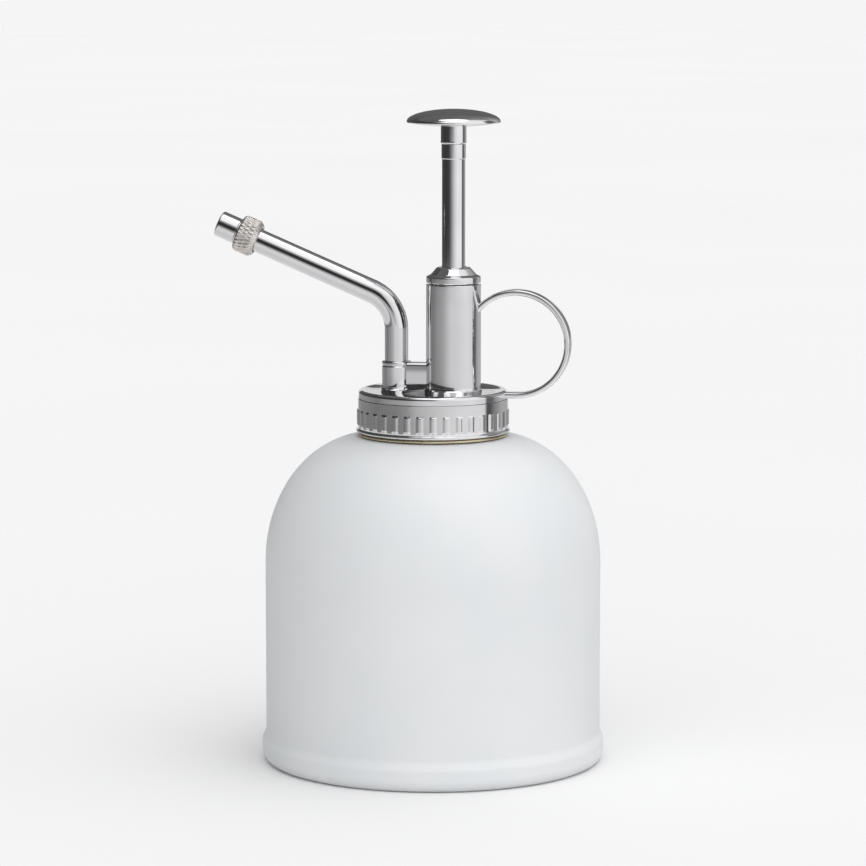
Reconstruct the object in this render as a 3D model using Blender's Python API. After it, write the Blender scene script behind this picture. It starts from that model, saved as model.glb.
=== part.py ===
"""Hand mister: a domed white bottle with a chromed thumb pump, a bent spout and a finger loop.

Frame: +Z up, with the origin at the centre of the bottle's flat base, on the bottle's axis.
The spout points towards -X and the finger loop stands at +X. The model is in metres. The
sizes below are in millimetres, and MM turns them into metres where a mesh is made.
"""

import math

import bmesh
import bpy
from mathutils import Vector

MM = 0.001
GAP = 0.3  # left between touching pieces

# Bottle
FOOT_R = 46.0
FOOT_TOP = 6.0
FOOT_EDGE = 3.0
BODY_R = 45.0
WALL = 2.8
BASE = 4.5
DOME_START = 54.0
DOME_HEIGHT = 34.0
NECK_R = 16.4
NECK_BORE_R = 14.3
NECK_TOP = 93.3
NECK_THREAD_R = 17.3
THREAD_LOW = 90.2
THREAD_PITCH = 1.7
THREAD_TURNS = 1.3

# Screw collar with its threaded liner
COLLAR_R = 20.1
COLLAR_WALL = 0.8
COLLAR_LOW = 89.2
COLLAR_TOP = 98.1
COLLAR_LIP = 0.9
COLLAR_ROLL = 0.5
RIB_COUNT = 36
RIB_HEIGHT = 0.25
RIB_LOW = 90.6
RIB_TOP = 95.0
LINER_R = 18.9
LINER_BORE_R = 18.1
LINER_LOW = 88.3
LINER_FLANGE = 0.6
LINER_THREAD_R = 17.5

# Pump body and its neck seal
FLANGE_R = 17.4
FLANGE_LOW = 94.9
FLANGE_TOP = COLLAR_TOP - COLLAR_LIP - GAP
BOSS_R = 14.9
BOSS_TOP = 98.9
PUMP_X = 5.55
CYLINDER_R = 6.0
CYLINDER_BORE_R = 4.5
CYLINDER_LOW = 74.0
CYLINDER_FLOOR = 80.6
CYLINDER_TOP = 128.8
DIP_SOCKET_LOW = 66.0
DIP_SOCKET_TOP = 73.0
DIP_SOCKET_R = 4.3
RISER_R = 3.9
RISER_LOW = 80.5
RISER_BORE_R = 2.5
PORT_Z = 84.4
PORT_R = 1.2
WEB_OVERLAP = 1.3  # how far the web runs into the cylinder and the riser
VENT_Y = 10.5
VENT_R = 0.7

# Deck cap, barrel and gland cap
DECK_R = 19.9
DECK_LOW = COLLAR_TOP + GAP
DECK_TOP = 100.4
DECK_PLATE = 1.2
DECK_EDGE = 0.8
BARREL_R = 7.35
BARREL_BORE_R = 6.7
CAP_R = 7.3
CAP_BAND_TOP = 130.5
CAP_TOP = 133.3
CAP_BORE_R = 3.4
CAP_CAVITY_R = 5.6
CAP_CAVITY_TOP = 131.2

# Plunger
ROD_R = 3.1
ROD_STOP_R = 3.25
ROD_STOP_LOW = 162.0
ROD_TOP = 165.8
SPIGOT_R = 1.6
TOP_SPIGOT_R = 2.0
HUB_R = 3.5
HUB_TOP = 170.4
BUTTON_R = 12.6
BUTTON_EDGE_Z = 171.9
BUTTON_DOME = 3.35
PISTON_LOW = 123.2
PISTON_R = 4.15
SEAL_GROOVE_LOW = 125.0
SEAL_GROOVE_TOP = 127.4
SPRING_R = 3.6
SPRING_WIRE_R = 0.3
SPRING_TURNS = 11

# Valves
SEAT_R = 1.4
INLET_SEAT_Z = 75.2
INLET_CHAMBER_R = 2.7
INLET_BALL_R = 2.25
INLET_BALL_Z = 77.3
CAGE_R = 4.2
CAGE_THICK = 1.4
OUTLET_SEAT_Z = 87.0
OUTLET_BALL_R = 2.0
OUTLET_BALL_Z = 88.8
OUTLET_SPRING_R = 1.7
OUTLET_WIRE_R = 0.18
OUTLET_SPRING_TURNS = 6
SEAT_DEPTH = 1.6

# Dip tube
DIP_R = 2.5
DIP_BORE_R = 1.7
DIP_LOW = 8.0
STRAINER_R = 3.6
STRAINER_LOW = 5.0
STRAINER_TOP = 14.0

# Spout: the tube rises from the deck, bends, and climbs towards -X
SPOUT_X = -9.9
SPOUT_CORNER_Z = 123.6
SPOUT_ANGLE = math.radians(22.9)
BEND_R = 11.0
TUBE_R = 3.2
TUBE_BORE_R = 2.3
TUBE_LOW = 99.3
TUBE_END = 41.5  # this and the nozzle's places are distances along the spout from its corner
SOCKET_R = 3.9
SOCKET_TOP = 107.9
BRIDGE_HALF_WIDTH = 2.4
BRIDGE_TOP = 107.6

# Nozzle
RING_R = 5.05
RING_START = 41.0
RING_END = 46.5
RING_TEETH = 18
RING_TOOTH = 0.35
NOZZLE_R = 3.5
NOZZLE_LOW = 43.5
NOZZLE_END = 52.5
NOZZLE_BORE_R = 2.75
ORIFICE_R = 0.35
ORIFICE_DEPTH = 1.1
STEM_R = 2.3
STEM_BORE_R = 0.9
STEM_TOP = 48.8
O_RING_LOW = 46.9
O_RING_TOP = 47.7
PLUG_R = 2.2
PLUG_LOW = 49.1
PLUG_TOP = 51.1

# Finger loop, a bent flat strip
LOOP_X = 22.65
LOOP_Z = 113.0
LOOP_R = 13.75
STRIP_WIDTH = 4.5
STRIP_THICK = 1.6
STRIP_EDGE = 0.35


def clear_scene():
    for obj in list(bpy.data.objects):
        bpy.data.objects.remove(obj, do_unlink=True)


def material(name, color, roughness, metallic=0.0):
    made = bpy.data.materials.new(name)
    made.use_nodes = True
    shader = made.node_tree.nodes["Principled BSDF"]
    shader.inputs["Base Color"].default_value = (*color, 1.0)
    shader.inputs["Roughness"].default_value = roughness
    shader.inputs["Metallic"].default_value = metallic
    return made


def make_materials():
    return {
        "white_glass": material("white_glass", (0.84, 0.85, 0.86), 0.45),
        "chrome": material("chrome", (0.80, 0.80, 0.81), 0.07, 1.0),
        "satin_nickel": material("satin_nickel", (0.60, 0.56, 0.52), 0.38, 1.0),
        "brass": material("brass", (0.72, 0.62, 0.40), 0.32, 1.0),
        "steel": material("steel", (0.58, 0.58, 0.60), 0.22, 1.0),
        "white_plastic": material("white_plastic", (0.80, 0.80, 0.78), 0.40),
        "clear_plastic": material("clear_plastic", (0.74, 0.76, 0.78), 0.22),
        "rubber": material("rubber", (0.03, 0.03, 0.03), 0.60),
    }


def group(name, at=(0.0, 0.0, 0.0), tilt=0.0, parent=None):
    """An empty on a joint's axis. Its pieces are its children, and tilt turns it about Y."""
    empty = bpy.data.objects.new(name, None)
    bpy.context.collection.objects.link(empty)
    empty.location = Vector(at) * MM
    empty.rotation_euler = (0.0, tilt, 0.0)
    empty.parent = parent
    return empty


def add_object(name, bm, parent, finish=None, at=(0.0, 0.0, 0.0)):
    """Turns a mesh drawn in millimetres into an object in metres."""
    bmesh.ops.scale(bm, vec=(MM, MM, MM), verts=bm.verts)
    bmesh.ops.recalc_face_normals(bm, faces=bm.faces)
    mesh = bpy.data.meshes.new(name)
    bm.to_mesh(mesh)
    bm.free()
    mesh.shade_smooth()
    mesh.set_sharp_from_angle(angle=math.radians(35))
    obj = bpy.data.objects.new(name, mesh)
    bpy.context.collection.objects.link(obj)
    obj.parent = parent
    obj.location = Vector(at) * MM
    if finish:
        mesh.materials.append(finish)
    return obj


def combine(obj, other, operation):
    """Cuts or joins other into obj, and keeps other as a hidden wire guide."""
    boolean = obj.modifiers.new(other.name, "BOOLEAN")
    boolean.operation = operation
    boolean.solver = "EXACT"
    boolean.object = other
    other.hide_render = True
    other.display_type = "WIRE"


def arc(center_r, center_z, radius_r, radius_z, start, end, count):
    """Points on an elliptic arc in the profile plane, with angles in degrees from +r to +z."""
    points = []
    for i in range(count + 1):
        angle = math.radians(start + (end - start) * i / count)
        points.append((center_r + radius_r * math.cos(angle), center_z + radius_z * math.sin(angle)))
    return points


def turned(name, profile, parent, finish=None, segments=24, at=(0.0, 0.0, 0.0), radius_at=None):
    """Turns a profile of (r, z) points about Z.

    A profile whose ends lie on the axis is a solid of revolution, and any other is closed
    into a ring. radius_at(r, z, i) can vary the radius around the piece.
    """
    bm = bmesh.new()
    rings = []
    for r, z in profile:
        if r < 1e-6:
            rings.append([bm.verts.new((0.0, 0.0, z))])
            continue
        ring = []
        for i in range(segments):
            angle = 2 * math.pi * i / segments
            reach = radius_at(r, z, i) if radius_at else r
            ring.append(bm.verts.new((reach * math.cos(angle), reach * math.sin(angle), z)))
        rings.append(ring)
    pairs = list(zip(rings, rings[1:]))
    if len(rings[0]) > 1:
        pairs.append((rings[-1], rings[0]))
    for low, high in pairs:
        for i in range(segments):
            j = (i + 1) % segments
            if len(low) == 1:
                bm.faces.new((low[0], high[i], high[j]))
            elif len(high) == 1:
                bm.faces.new((low[i], low[j], high[0]))
            else:
                bm.faces.new((low[i], low[j], high[j], high[i]))
    return add_object(name, bm, parent, finish, at)


def tube_ring(r_in, r_out, z_low, z_high):
    return [(r_in, z_low), (r_out, z_low), (r_out, z_high), (r_in, z_high)]


def rod(name, radius, z_low, z_high, parent, finish=None, segments=24, at=(0.0, 0.0, 0.0)):
    profile = [(0.0, z_low), (radius, z_low), (radius, z_high), (0.0, z_high)]
    return turned(name, profile, parent, finish, segments, at)


def block(name, size, center, parent, finish=None):
    bm = bmesh.new()
    bmesh.ops.create_cube(bm, size=1.0)
    bmesh.ops.scale(bm, vec=size, verts=bm.verts)
    bmesh.ops.translate(bm, vec=center, verts=bm.verts)
    return add_object(name, bm, parent, finish)


def ball(name, radius, center, parent, finish):
    bm = bmesh.new()
    bmesh.ops.create_icosphere(bm, subdivisions=2, radius=radius)
    return add_object(name, bm, parent, finish, center)


def swept(name, path, sections, parent, finish=None):
    """Sweeps closed outlines along a path in the XZ plane.

    path holds (point, direction) pairs. An outline's points are (offset to the left of the
    direction, offset along Y). Two outlines make a pipe, and one makes a solid bar.
    """
    bm = bmesh.new()
    skins = []
    for outline in sections:
        rings = []
        for (x, z), (dx, dz) in path:
            ring = [bm.verts.new((x - dz * u, v, z + dx * u)) for u, v in outline]
            rings.append(ring)
        skins.append(rings)
        count = len(outline)
        for low, high in zip(rings, rings[1:]):
            for i in range(count):
                j = (i + 1) % count
                bm.faces.new((low[i], low[j], high[j], high[i]))
    for end in (0, -1):
        outer = skins[0][end]
        if len(skins) == 1:
            bm.faces.new(outer)
            continue
        inner = skins[1][end]
        for i in range(len(outer)):
            j = (i + 1) % len(outer)
            bm.faces.new((outer[i], outer[j], inner[j], inner[i]))
    return add_object(name, bm, parent, finish)


def circle(radius, count):
    steps = [2 * math.pi * i / count for i in range(count)]
    return [(radius * math.cos(a), radius * math.sin(a)) for a in steps]


def helix_wire(name, radius, wire_r, z_low, z_high, turns, parent, finish, at, sides=5):
    """A coil spring whose first and last turns lie nearly flat."""
    bm = bmesh.new()
    per_turn = 8
    steps = turns * per_turn
    rings = []
    for i in range(steps + 1):
        turn = i / per_turn
        angle = 2 * math.pi * turn
        end_rise = 2.2 * wire_r
        if turn <= 1:
            z = z_low + end_rise * turn
        elif turn >= turns - 1:
            z = z_high - end_rise * (turns - turn)
        else:
            share = (turn - 1) / (turns - 2)
            z = z_low + end_rise + (z_high - z_low - 2 * end_rise) * share
        ring = []
        for k in range(sides):
            around = 2 * math.pi * k / sides
            reach = radius + wire_r * math.cos(around)
            rise = wire_r * math.sin(around)
            ring.append(bm.verts.new((reach * math.cos(angle), reach * math.sin(angle), z + rise)))
        rings.append(ring)
    for low, high in zip(rings, rings[1:]):
        for k in range(sides):
            n = (k + 1) % sides
            bm.faces.new((low[k], low[n], high[n], high[k]))
    bm.faces.new(rings[0])
    bm.faces.new(rings[-1])
    return add_object(name, bm, parent, finish, at)


def thread_ridge(name, root_r, crest_r, parent):
    """One raised screw thread about Z that fades out at both ends."""
    bm = bmesh.new()
    per_turn = 30
    steps = round(THREAD_TURNS * per_turn)
    rings = []
    for i in range(steps + 1):
        angle = 2 * math.pi * i / per_turn
        z = THREAD_LOW + THREAD_PITCH * i / per_turn
        fade = min(1.0, i / 3, (steps - i) / 3)
        crest = root_r + (crest_r - root_r) * (0.25 + 0.75 * fade)
        points = [(root_r, z - 0.6), (crest, z - 0.2), (crest, z + 0.2), (root_r, z + 0.6)]
        rings.append([bm.verts.new((r * math.cos(angle), r * math.sin(angle), h)) for r, h in points])
    for low, high in zip(rings, rings[1:]):
        for k in range(4):
            n = (k + 1) % 4
            bm.faces.new((low[k], low[n], high[n], high[k]))
    bm.faces.new(rings[0])
    bm.faces.new(rings[-1])
    return add_object(name, bm, parent)


def make_bottle(base, finish):
    """Foot ring, straight wall, elliptic dome and neck outside, and the same walls inside."""
    dome_r = 18.0
    inner_r = BODY_R - WALL
    inner_dome_r = 16.0
    profile = [(0.0, 0.0)]
    profile += arc(FOOT_R - FOOT_EDGE, FOOT_EDGE, FOOT_EDGE, FOOT_EDGE, -90, 0, 3)
    profile += [(FOOT_R, FOOT_TOP), (FOOT_R - 0.3, FOOT_TOP + 1.2), (BODY_R, FOOT_TOP + 2.4)]
    profile += arc(dome_r, DOME_START, BODY_R - dome_r, DOME_HEIGHT, 0, 90, 8)
    profile += [(NECK_R, DOME_START + DOME_HEIGHT + 0.4), (NECK_R, NECK_TOP - 0.4)]
    profile += [(NECK_R - 0.4, NECK_TOP)]
    profile += [(NECK_BORE_R + 0.3, NECK_TOP), (NECK_BORE_R, NECK_TOP - 0.3)]
    profile += [(NECK_BORE_R, DOME_START + DOME_HEIGHT - 1.5)]
    profile += arc(inner_dome_r, DOME_START, inner_r - inner_dome_r, DOME_HEIGHT - WALL, 90, 0, 6)
    profile += arc(inner_r - 6.0, BASE + 6.0, 6.0, 6.0, 0, -90, 3)
    profile += [(0.0, BASE)]
    bottle = turned("bottle", profile, base, finish, segments=44)
    combine(bottle, thread_ridge("neck_thread", NECK_R - 0.4, NECK_THREAD_R, base), "UNION")


def make_screw_collar(collar, finish):
    """A chromed shell: rolled lower lip, short grip ribs, and a lip over the pump's flange."""
    inner = COLLAR_R - COLLAR_WALL
    hole = BOSS_R + 0.4
    roll_r = COLLAR_R + COLLAR_ROLL
    profile = [(inner, COLLAR_LOW), (roll_r, COLLAR_LOW), (roll_r, COLLAR_LOW + 0.7)]
    profile += [(COLLAR_R, COLLAR_LOW + 1.0), (COLLAR_R, RIB_LOW), (COLLAR_R, RIB_LOW + 0.3)]
    profile += [(COLLAR_R, RIB_TOP - 0.3), (COLLAR_R, RIB_TOP), (COLLAR_R, COLLAR_TOP - 0.3)]
    profile += [(COLLAR_R - 0.3, COLLAR_TOP), (hole, COLLAR_TOP), (hole, COLLAR_TOP - COLLAR_LIP)]
    profile += [(inner, COLLAR_TOP - COLLAR_LIP)]

    def ribbed(r, z, i):
        on_rib = i % 2 == 0 and r > COLLAR_R - 0.01 and RIB_LOW + 0.1 < z < RIB_TOP - 0.1
        return r + RIB_HEIGHT if on_rib else r

    turned("screw_collar", profile, collar, finish, 2 * RIB_COUNT, radius_at=ribbed)


def make_collar_liner(collar, finish):
    """The threaded sleeve inside the shell. Its flange shows as a thin line under the shell."""
    flange_top = LINER_LOW + LINER_FLANGE
    profile = [(LINER_BORE_R, LINER_LOW), (COLLAR_R + 0.1, LINER_LOW), (COLLAR_R + 0.1, flange_top)]
    profile += [(LINER_R, flange_top), (LINER_R, FLANGE_TOP), (LINER_BORE_R, FLANGE_TOP)]
    liner = turned("collar_liner", profile, collar, finish, 44)
    combine(liner, thread_ridge("liner_thread", LINER_BORE_R + 0.4, LINER_THREAD_R, collar), "UNION")


def make_pump_body(head, finish):
    """One moulding: neck flange, boss, pump cylinder, valve block, dip tube socket and riser."""
    pump_at = (PUMP_X, 0.0, 0.0)
    spout_at = (SPOUT_X, 0.0, 0.0)
    flange = [(0.0, FLANGE_LOW), (FLANGE_R, FLANGE_LOW), (FLANGE_R, FLANGE_TOP), (BOSS_R, FLANGE_TOP)]
    flange += [(BOSS_R, BOSS_TOP), (0.0, BOSS_TOP)]
    body = turned("pump_body", flange, head, finish, 36)

    outside = [(0.0, DIP_SOCKET_LOW), (DIP_SOCKET_R, DIP_SOCKET_LOW), (DIP_SOCKET_R, CYLINDER_LOW)]
    outside += [(CYLINDER_R, CYLINDER_LOW + 1.0), (CYLINDER_R, CYLINDER_TOP), (0.0, CYLINDER_TOP)]
    combine(body, turned("cylinder_outside", outside, head, at=pump_at), "UNION")
    riser = rod("riser_outside", RISER_R, RISER_LOW, FLANGE_LOW + 0.6, head, segments=16, at=spout_at)
    combine(body, riser, "UNION")
    web_low, web_top = RISER_LOW + 0.6, FLANGE_LOW + 0.7
    web_size = (PUMP_X - SPOUT_X + 2 * WEB_OVERLAP, 4.4, web_top - web_low)
    web_center = ((PUMP_X + SPOUT_X) / 2, 0.0, (web_low + web_top) / 2)
    combine(body, block("web", web_size, web_center, head), "UNION")

    seat_top = INLET_SEAT_Z + SEAT_DEPTH
    bore = [(0.0, DIP_SOCKET_LOW - 1), (DIP_R + GAP, DIP_SOCKET_LOW - 1), (DIP_R + GAP, DIP_SOCKET_TOP)]
    bore += [(SEAT_R, DIP_SOCKET_TOP + 0.5), (SEAT_R, INLET_SEAT_Z), (INLET_CHAMBER_R, seat_top)]
    bore += [(INLET_CHAMBER_R, CYLINDER_FLOOR), (CYLINDER_BORE_R, CYLINDER_FLOOR)]
    bore += [(CYLINDER_BORE_R, CYLINDER_TOP + 1), (0.0, CYLINDER_TOP + 1)]
    combine(body, turned("cylinder_bore", bore, head, segments=28, at=pump_at), "DIFFERENCE")

    seal_r = TUBE_R + 0.5
    outlet = [(0.0, PORT_Z - SEAT_R), (SEAT_R, PORT_Z - SEAT_R), (SEAT_R, OUTLET_SEAT_Z)]
    outlet += [(RISER_BORE_R, OUTLET_SEAT_Z + SEAT_DEPTH), (RISER_BORE_R, BOSS_TOP - 1.0)]
    outlet += [(seal_r, BOSS_TOP - 1.0), (seal_r, BOSS_TOP + 1), (0.0, BOSS_TOP + 1)]
    combine(body, turned("riser_bore", outlet, head, segments=20, at=spout_at), "DIFFERENCE")

    port_axis = group("port_axis", (SPOUT_X, 0.0, PORT_Z), math.pi / 2, head)
    port = rod("port_bore", PORT_R, -0.4, PUMP_X - SPOUT_X + 0.4, port_axis, segments=10)
    combine(body, port, "DIFFERENCE")
    vent = rod("vent_bore", VENT_R, FLANGE_LOW - 1, BOSS_TOP + 1, head, segments=8, at=(0.0, VENT_Y, 0.0))
    combine(body, vent, "DIFFERENCE")


def make_deck_cap(head, finish):
    """A shallow chromed cap over the pump body, with holes for the cylinder and the spout tube."""
    plate_low = DECK_TOP - DECK_PLATE
    skirt_r = DECK_R - 0.8
    profile = [(0.0, plate_low), (skirt_r, plate_low), (skirt_r, DECK_LOW), (DECK_R, DECK_LOW)]
    profile += arc(DECK_R - DECK_EDGE, DECK_TOP - DECK_EDGE, DECK_EDGE, DECK_EDGE, 0, 90, 3)
    profile += [(0.0, DECK_TOP)]
    deck = turned("deck_cap", profile, head, finish, 44)
    low, high = plate_low - 1, DECK_TOP + 1
    pump_hole = rod("deck_pump_hole", CYLINDER_R + GAP, low, high, head, at=(PUMP_X, 0.0, 0.0))
    tube_hole = rod("deck_tube_hole", TUBE_R + GAP, low, high, head, segments=16, at=(SPOUT_X, 0.0, 0.0))
    combine(deck, pump_hole, "DIFFERENCE")
    combine(deck, tube_hole, "DIFFERENCE")


def make_barrel(head, chrome, rubber):
    """The chromed barrel round the cylinder, its domed gland cap and the rod's wiper seal."""
    at = (PUMP_X, 0.0, 0.0)
    cap_low = CYLINDER_TOP + GAP
    turned("barrel", tube_ring(BARREL_BORE_R, BARREL_R, DECK_TOP + GAP, CYLINDER_TOP), head, chrome, 32, at)
    cap = [(CAP_CAVITY_R, cap_low), (CAP_R, cap_low), (CAP_R, CAP_BAND_TOP)]
    cap += [(CAP_R - 0.3, CAP_BAND_TOP + 0.1)]
    run, rise = CAP_R - 0.4 - CAP_BORE_R, CAP_TOP - CAP_BAND_TOP - 0.1
    cap += [(CAP_BORE_R + 0.72 * run, CAP_BAND_TOP + 0.1 + 0.42 * rise)]
    cap += [(CAP_BORE_R + 0.40 * run, CAP_BAND_TOP + 0.1 + 0.76 * rise), (CAP_BORE_R, CAP_TOP)]
    cap += [(CAP_BORE_R, CAP_CAVITY_TOP), (CAP_CAVITY_R, CAP_CAVITY_TOP)]
    turned("barrel_cap", cap, head, chrome, 28, at)
    seal = tube_ring(ROD_R + 0.2, CAP_CAVITY_R - GAP, cap_low + 0.1, CAP_CAVITY_TOP - GAP)
    turned("rod_seal", seal, head, rubber, at=at)


def make_neck_gasket(head, finish):
    ring = tube_ring(NECK_BORE_R + GAP, FLANGE_R - 0.1, NECK_TOP + GAP, FLANGE_LOW - GAP)
    turned("neck_gasket", ring, head, finish, 28)


def make_plunger(plunger, mats):
    """Button, hub, rod, piston and its seal, all on the pump's axis."""
    hub_low = ROD_TOP + GAP
    spigot_top = BUTTON_EDGE_Z
    stem = [(0.0, PISTON_LOW + 2.0), (SPIGOT_R, PISTON_LOW + 2.0), (SPIGOT_R, CYLINDER_TOP + GAP)]
    stem += [(ROD_R, CYLINDER_TOP + GAP), (ROD_R, ROD_STOP_LOW), (ROD_STOP_R, ROD_STOP_LOW + 0.15)]
    stem += [(ROD_STOP_R, ROD_TOP), (TOP_SPIGOT_R, ROD_TOP)]
    stem += [(TOP_SPIGOT_R, spigot_top), (0.0, spigot_top)]
    turned("plunger_rod", stem, plunger, mats["chrome"])

    hub = [(TOP_SPIGOT_R + GAP, hub_low), (HUB_R - 0.3, hub_low), (HUB_R, hub_low + 0.3)]
    hub += [(HUB_R, HUB_TOP - 0.3), (HUB_R - 0.3, HUB_TOP), (TOP_SPIGOT_R + GAP, HUB_TOP)]
    turned("button_hub", hub, plunger, mats["chrome"])

    button = arc(0.0, BUTTON_EDGE_Z, BUTTON_R, BUTTON_DOME, 90, 0, 7)
    button += [(BUTTON_R - 0.4, BUTTON_EDGE_Z - 0.4), (8.0, BUTTON_EDGE_Z - 1.0)]
    button += [(HUB_R + 0.2, HUB_TOP + GAP), (TOP_SPIGOT_R + GAP, HUB_TOP + GAP)]
    button += [(TOP_SPIGOT_R + GAP, spigot_top + GAP), (0.0, spigot_top + GAP)]
    turned("thumb_button", button, plunger, mats["chrome"], 32)

    socket_r = SPIGOT_R + GAP
    groove_r = PISTON_R - 0.95
    piston = [(0.0, PISTON_LOW), (PISTON_R, PISTON_LOW), (PISTON_R, SEAL_GROOVE_LOW)]
    piston += [(groove_r, SEAL_GROOVE_LOW), (groove_r, SEAL_GROOVE_TOP), (PISTON_R, SEAL_GROOVE_TOP)]
    piston += [(PISTON_R, CYLINDER_TOP)]
    piston += [(socket_r, CYLINDER_TOP), (socket_r, PISTON_LOW + 1.7), (0.0, PISTON_LOW + 1.7)]
    turned("piston", piston, plunger, mats["white_plastic"])
    seal_r = CYLINDER_BORE_R - 0.12
    seal = tube_ring(groove_r + GAP, seal_r, SEAL_GROOVE_LOW + GAP, SEAL_GROOVE_TOP - GAP)
    turned("piston_seal", seal, plunger, mats["rubber"])


def make_return_spring(head, finish):
    low = CYLINDER_FLOOR + GAP + CAGE_THICK + GAP + SPRING_WIRE_R
    high = PISTON_LOW - GAP - SPRING_WIRE_R
    at = (PUMP_X, 0.0, 0.0)
    helix_wire("return_spring", SPRING_R, SPRING_WIRE_R, low, high, SPRING_TURNS, head, finish, at)


def make_inlet_valve(head, lift, mats):
    """A ball on a cone seat under the cylinder, kept down by a slotted cage."""
    low = CYLINDER_FLOOR + GAP
    at = (PUMP_X, 0.0, 0.0)
    ring = tube_ring(1.2, CAGE_R, low, low + CAGE_THICK)
    cage = turned("inlet_valve_cage", ring, head, mats["white_plastic"], 20, at)
    for name, size in (("slot_x", (7.0, 1.0, 1.4)), ("slot_y", (1.0, 7.0, 1.4))):
        combine(cage, block("cage_" + name, size, (PUMP_X, 0.0, low), head), "DIFFERENCE")
    ball("inlet_valve_ball", INLET_BALL_R, (0.0, 0.0, INLET_BALL_Z), lift, mats["steel"])


def make_outlet_valve(head, lift, mats):
    """A sprung ball in the riser, with the flat seal that the spout tube presses on."""
    at = (SPOUT_X, 0.0, 0.0)
    ball("outlet_valve_ball", OUTLET_BALL_R, (0.0, 0.0, OUTLET_BALL_Z), lift, mats["steel"])
    low = OUTLET_BALL_Z + OUTLET_BALL_R + GAP + OUTLET_WIRE_R
    seal_low = BOSS_TOP - 0.7
    high = seal_low - GAP - OUTLET_WIRE_R
    helix_wire("outlet_valve_spring", OUTLET_SPRING_R, OUTLET_WIRE_R, low, high, OUTLET_SPRING_TURNS,
               head, mats["steel"], at, sides=4)
    ring = tube_ring(1.5, TUBE_R + 0.2, seal_low, TUBE_LOW - GAP)
    turned("spout_seal", ring, head, mats["rubber"], 20, at)


def make_dip_tube(head, mats):
    """The tube down into the water, and the slotted strainer on its end."""
    at = (PUMP_X, 0.0, 0.0)
    dip = tube_ring(DIP_BORE_R, DIP_R, DIP_LOW, DIP_SOCKET_TOP - GAP)
    turned("dip_tube", dip, head, mats["clear_plastic"], 20, at)
    inner = DIP_R + GAP
    cup = [(0.0, STRAINER_LOW), (STRAINER_R, STRAINER_LOW), (STRAINER_R, STRAINER_TOP)]
    cup += [(inner, STRAINER_TOP), (inner, STRAINER_LOW + 1.0), (0.0, STRAINER_LOW + 1.0)]
    strainer = turned("strainer", cup, head, mats["white_plastic"], 20, at)
    center = (PUMP_X, 0.0, STRAINER_LOW + 1.9)
    for name, size in (("slot_x", (10.0, 1.1, 2.0)), ("slot_y", (1.1, 10.0, 2.0))):
        combine(strainer, block("strainer_" + name, size, center, head), "DIFFERENCE")


def spout_direction():
    return (-math.cos(SPOUT_ANGLE), math.sin(SPOUT_ANGLE))


def spout_path():
    """Straight up, round the bend and along the climb, as (point, direction) pairs."""
    turn = math.pi / 2 - SPOUT_ANGLE
    tangent = BEND_R * math.tan(turn / 2)
    path = [((SPOUT_X, TUBE_LOW), (0.0, 1.0))]
    steps = 8
    for i in range(steps + 1):
        swung = turn * i / steps
        x = SPOUT_X - BEND_R * (1 - math.cos(swung))
        z = SPOUT_CORNER_Z - tangent + BEND_R * math.sin(swung)
        path.append(((x, z), (-math.sin(swung), math.cos(swung))))
    dx, dz = spout_direction()
    path.append(((SPOUT_X + dx * TUBE_END, SPOUT_CORNER_Z + dz * TUBE_END), (dx, dz)))
    return path


def make_spout(head, mats):
    """The bent tube, the ferrule that holds its foot, and the web that ties it to the barrel."""
    swept("spout_tube", spout_path(), [circle(TUBE_R, 18), circle(TUBE_BORE_R, 18)], head, mats["chrome"])
    low = DECK_TOP + GAP
    inner = TUBE_R + GAP
    socket = [(inner, low), (SOCKET_R, low), (SOCKET_R, SOCKET_TOP - 1.2)]
    socket += [(SOCKET_R - 0.2, SOCKET_TOP - 0.9), (SOCKET_R - 0.2, SOCKET_TOP), (inner, SOCKET_TOP)]
    turned("spout_socket", socket, head, mats["chrome"], 24, (SPOUT_X, 0.0, 0.0))

    left, right = SPOUT_X + 2.0, PUMP_X - BARREL_R + 2.0
    size = (right - left, 2 * BRIDGE_HALF_WIDTH, BRIDGE_TOP - low)
    center = ((left + right) / 2, 0.0, (low + BRIDGE_TOP) / 2)
    bridge = block("outlet_bridge", size, center, head, mats["chrome"])
    for name, radius, x in (("socket", SOCKET_R, SPOUT_X), ("barrel", BARREL_R, PUMP_X)):
        cutter = rod("bridge_cut_" + name, radius + GAP, low - 1, BRIDGE_TOP + 1, head, at=(x, 0.0, 0.0))
        combine(bridge, cutter, "DIFFERENCE")


def make_nozzle_core(axis, mats):
    """What stays on the tube: the bored stem with its O-ring, and the slotted swirl plug."""
    low, start = TUBE_END - 4.0, TUBE_END + GAP
    tail_r = TUBE_BORE_R - GAP
    shoulder_r = TUBE_R - 0.2
    groove_r = STEM_R - 0.5
    stem = [(STEM_BORE_R, low), (tail_r, low), (tail_r, start), (shoulder_r, start)]
    stem += [(shoulder_r, start + 1.2), (STEM_R, start + 1.2), (STEM_R, O_RING_LOW - 0.1)]
    stem += [(groove_r, O_RING_LOW - 0.1), (groove_r, O_RING_TOP + 0.1), (STEM_R, O_RING_TOP + 0.1)]
    stem += [(STEM_R, STEM_TOP), (STEM_BORE_R, STEM_TOP)]
    turned("nozzle_stem", stem, axis, mats["brass"], 16)
    o_ring = tube_ring(groove_r + 0.2, NOZZLE_BORE_R - 0.15, O_RING_LOW, O_RING_TOP)
    turned("nozzle_o_ring", o_ring, axis, mats["rubber"], 16)
    plug = rod("swirl_plug", PLUG_R, PLUG_LOW, PLUG_TOP, axis, mats["white_plastic"], 16)
    center = (0.0, 0.0, PLUG_TOP + 0.5)
    for name, size in (("slot_x", (6.0, 0.7, 4.0)), ("slot_y", (0.7, 6.0, 4.0))):
        combine(plug, block("plug_" + name, size, center, axis), "DIFFERENCE")


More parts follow.
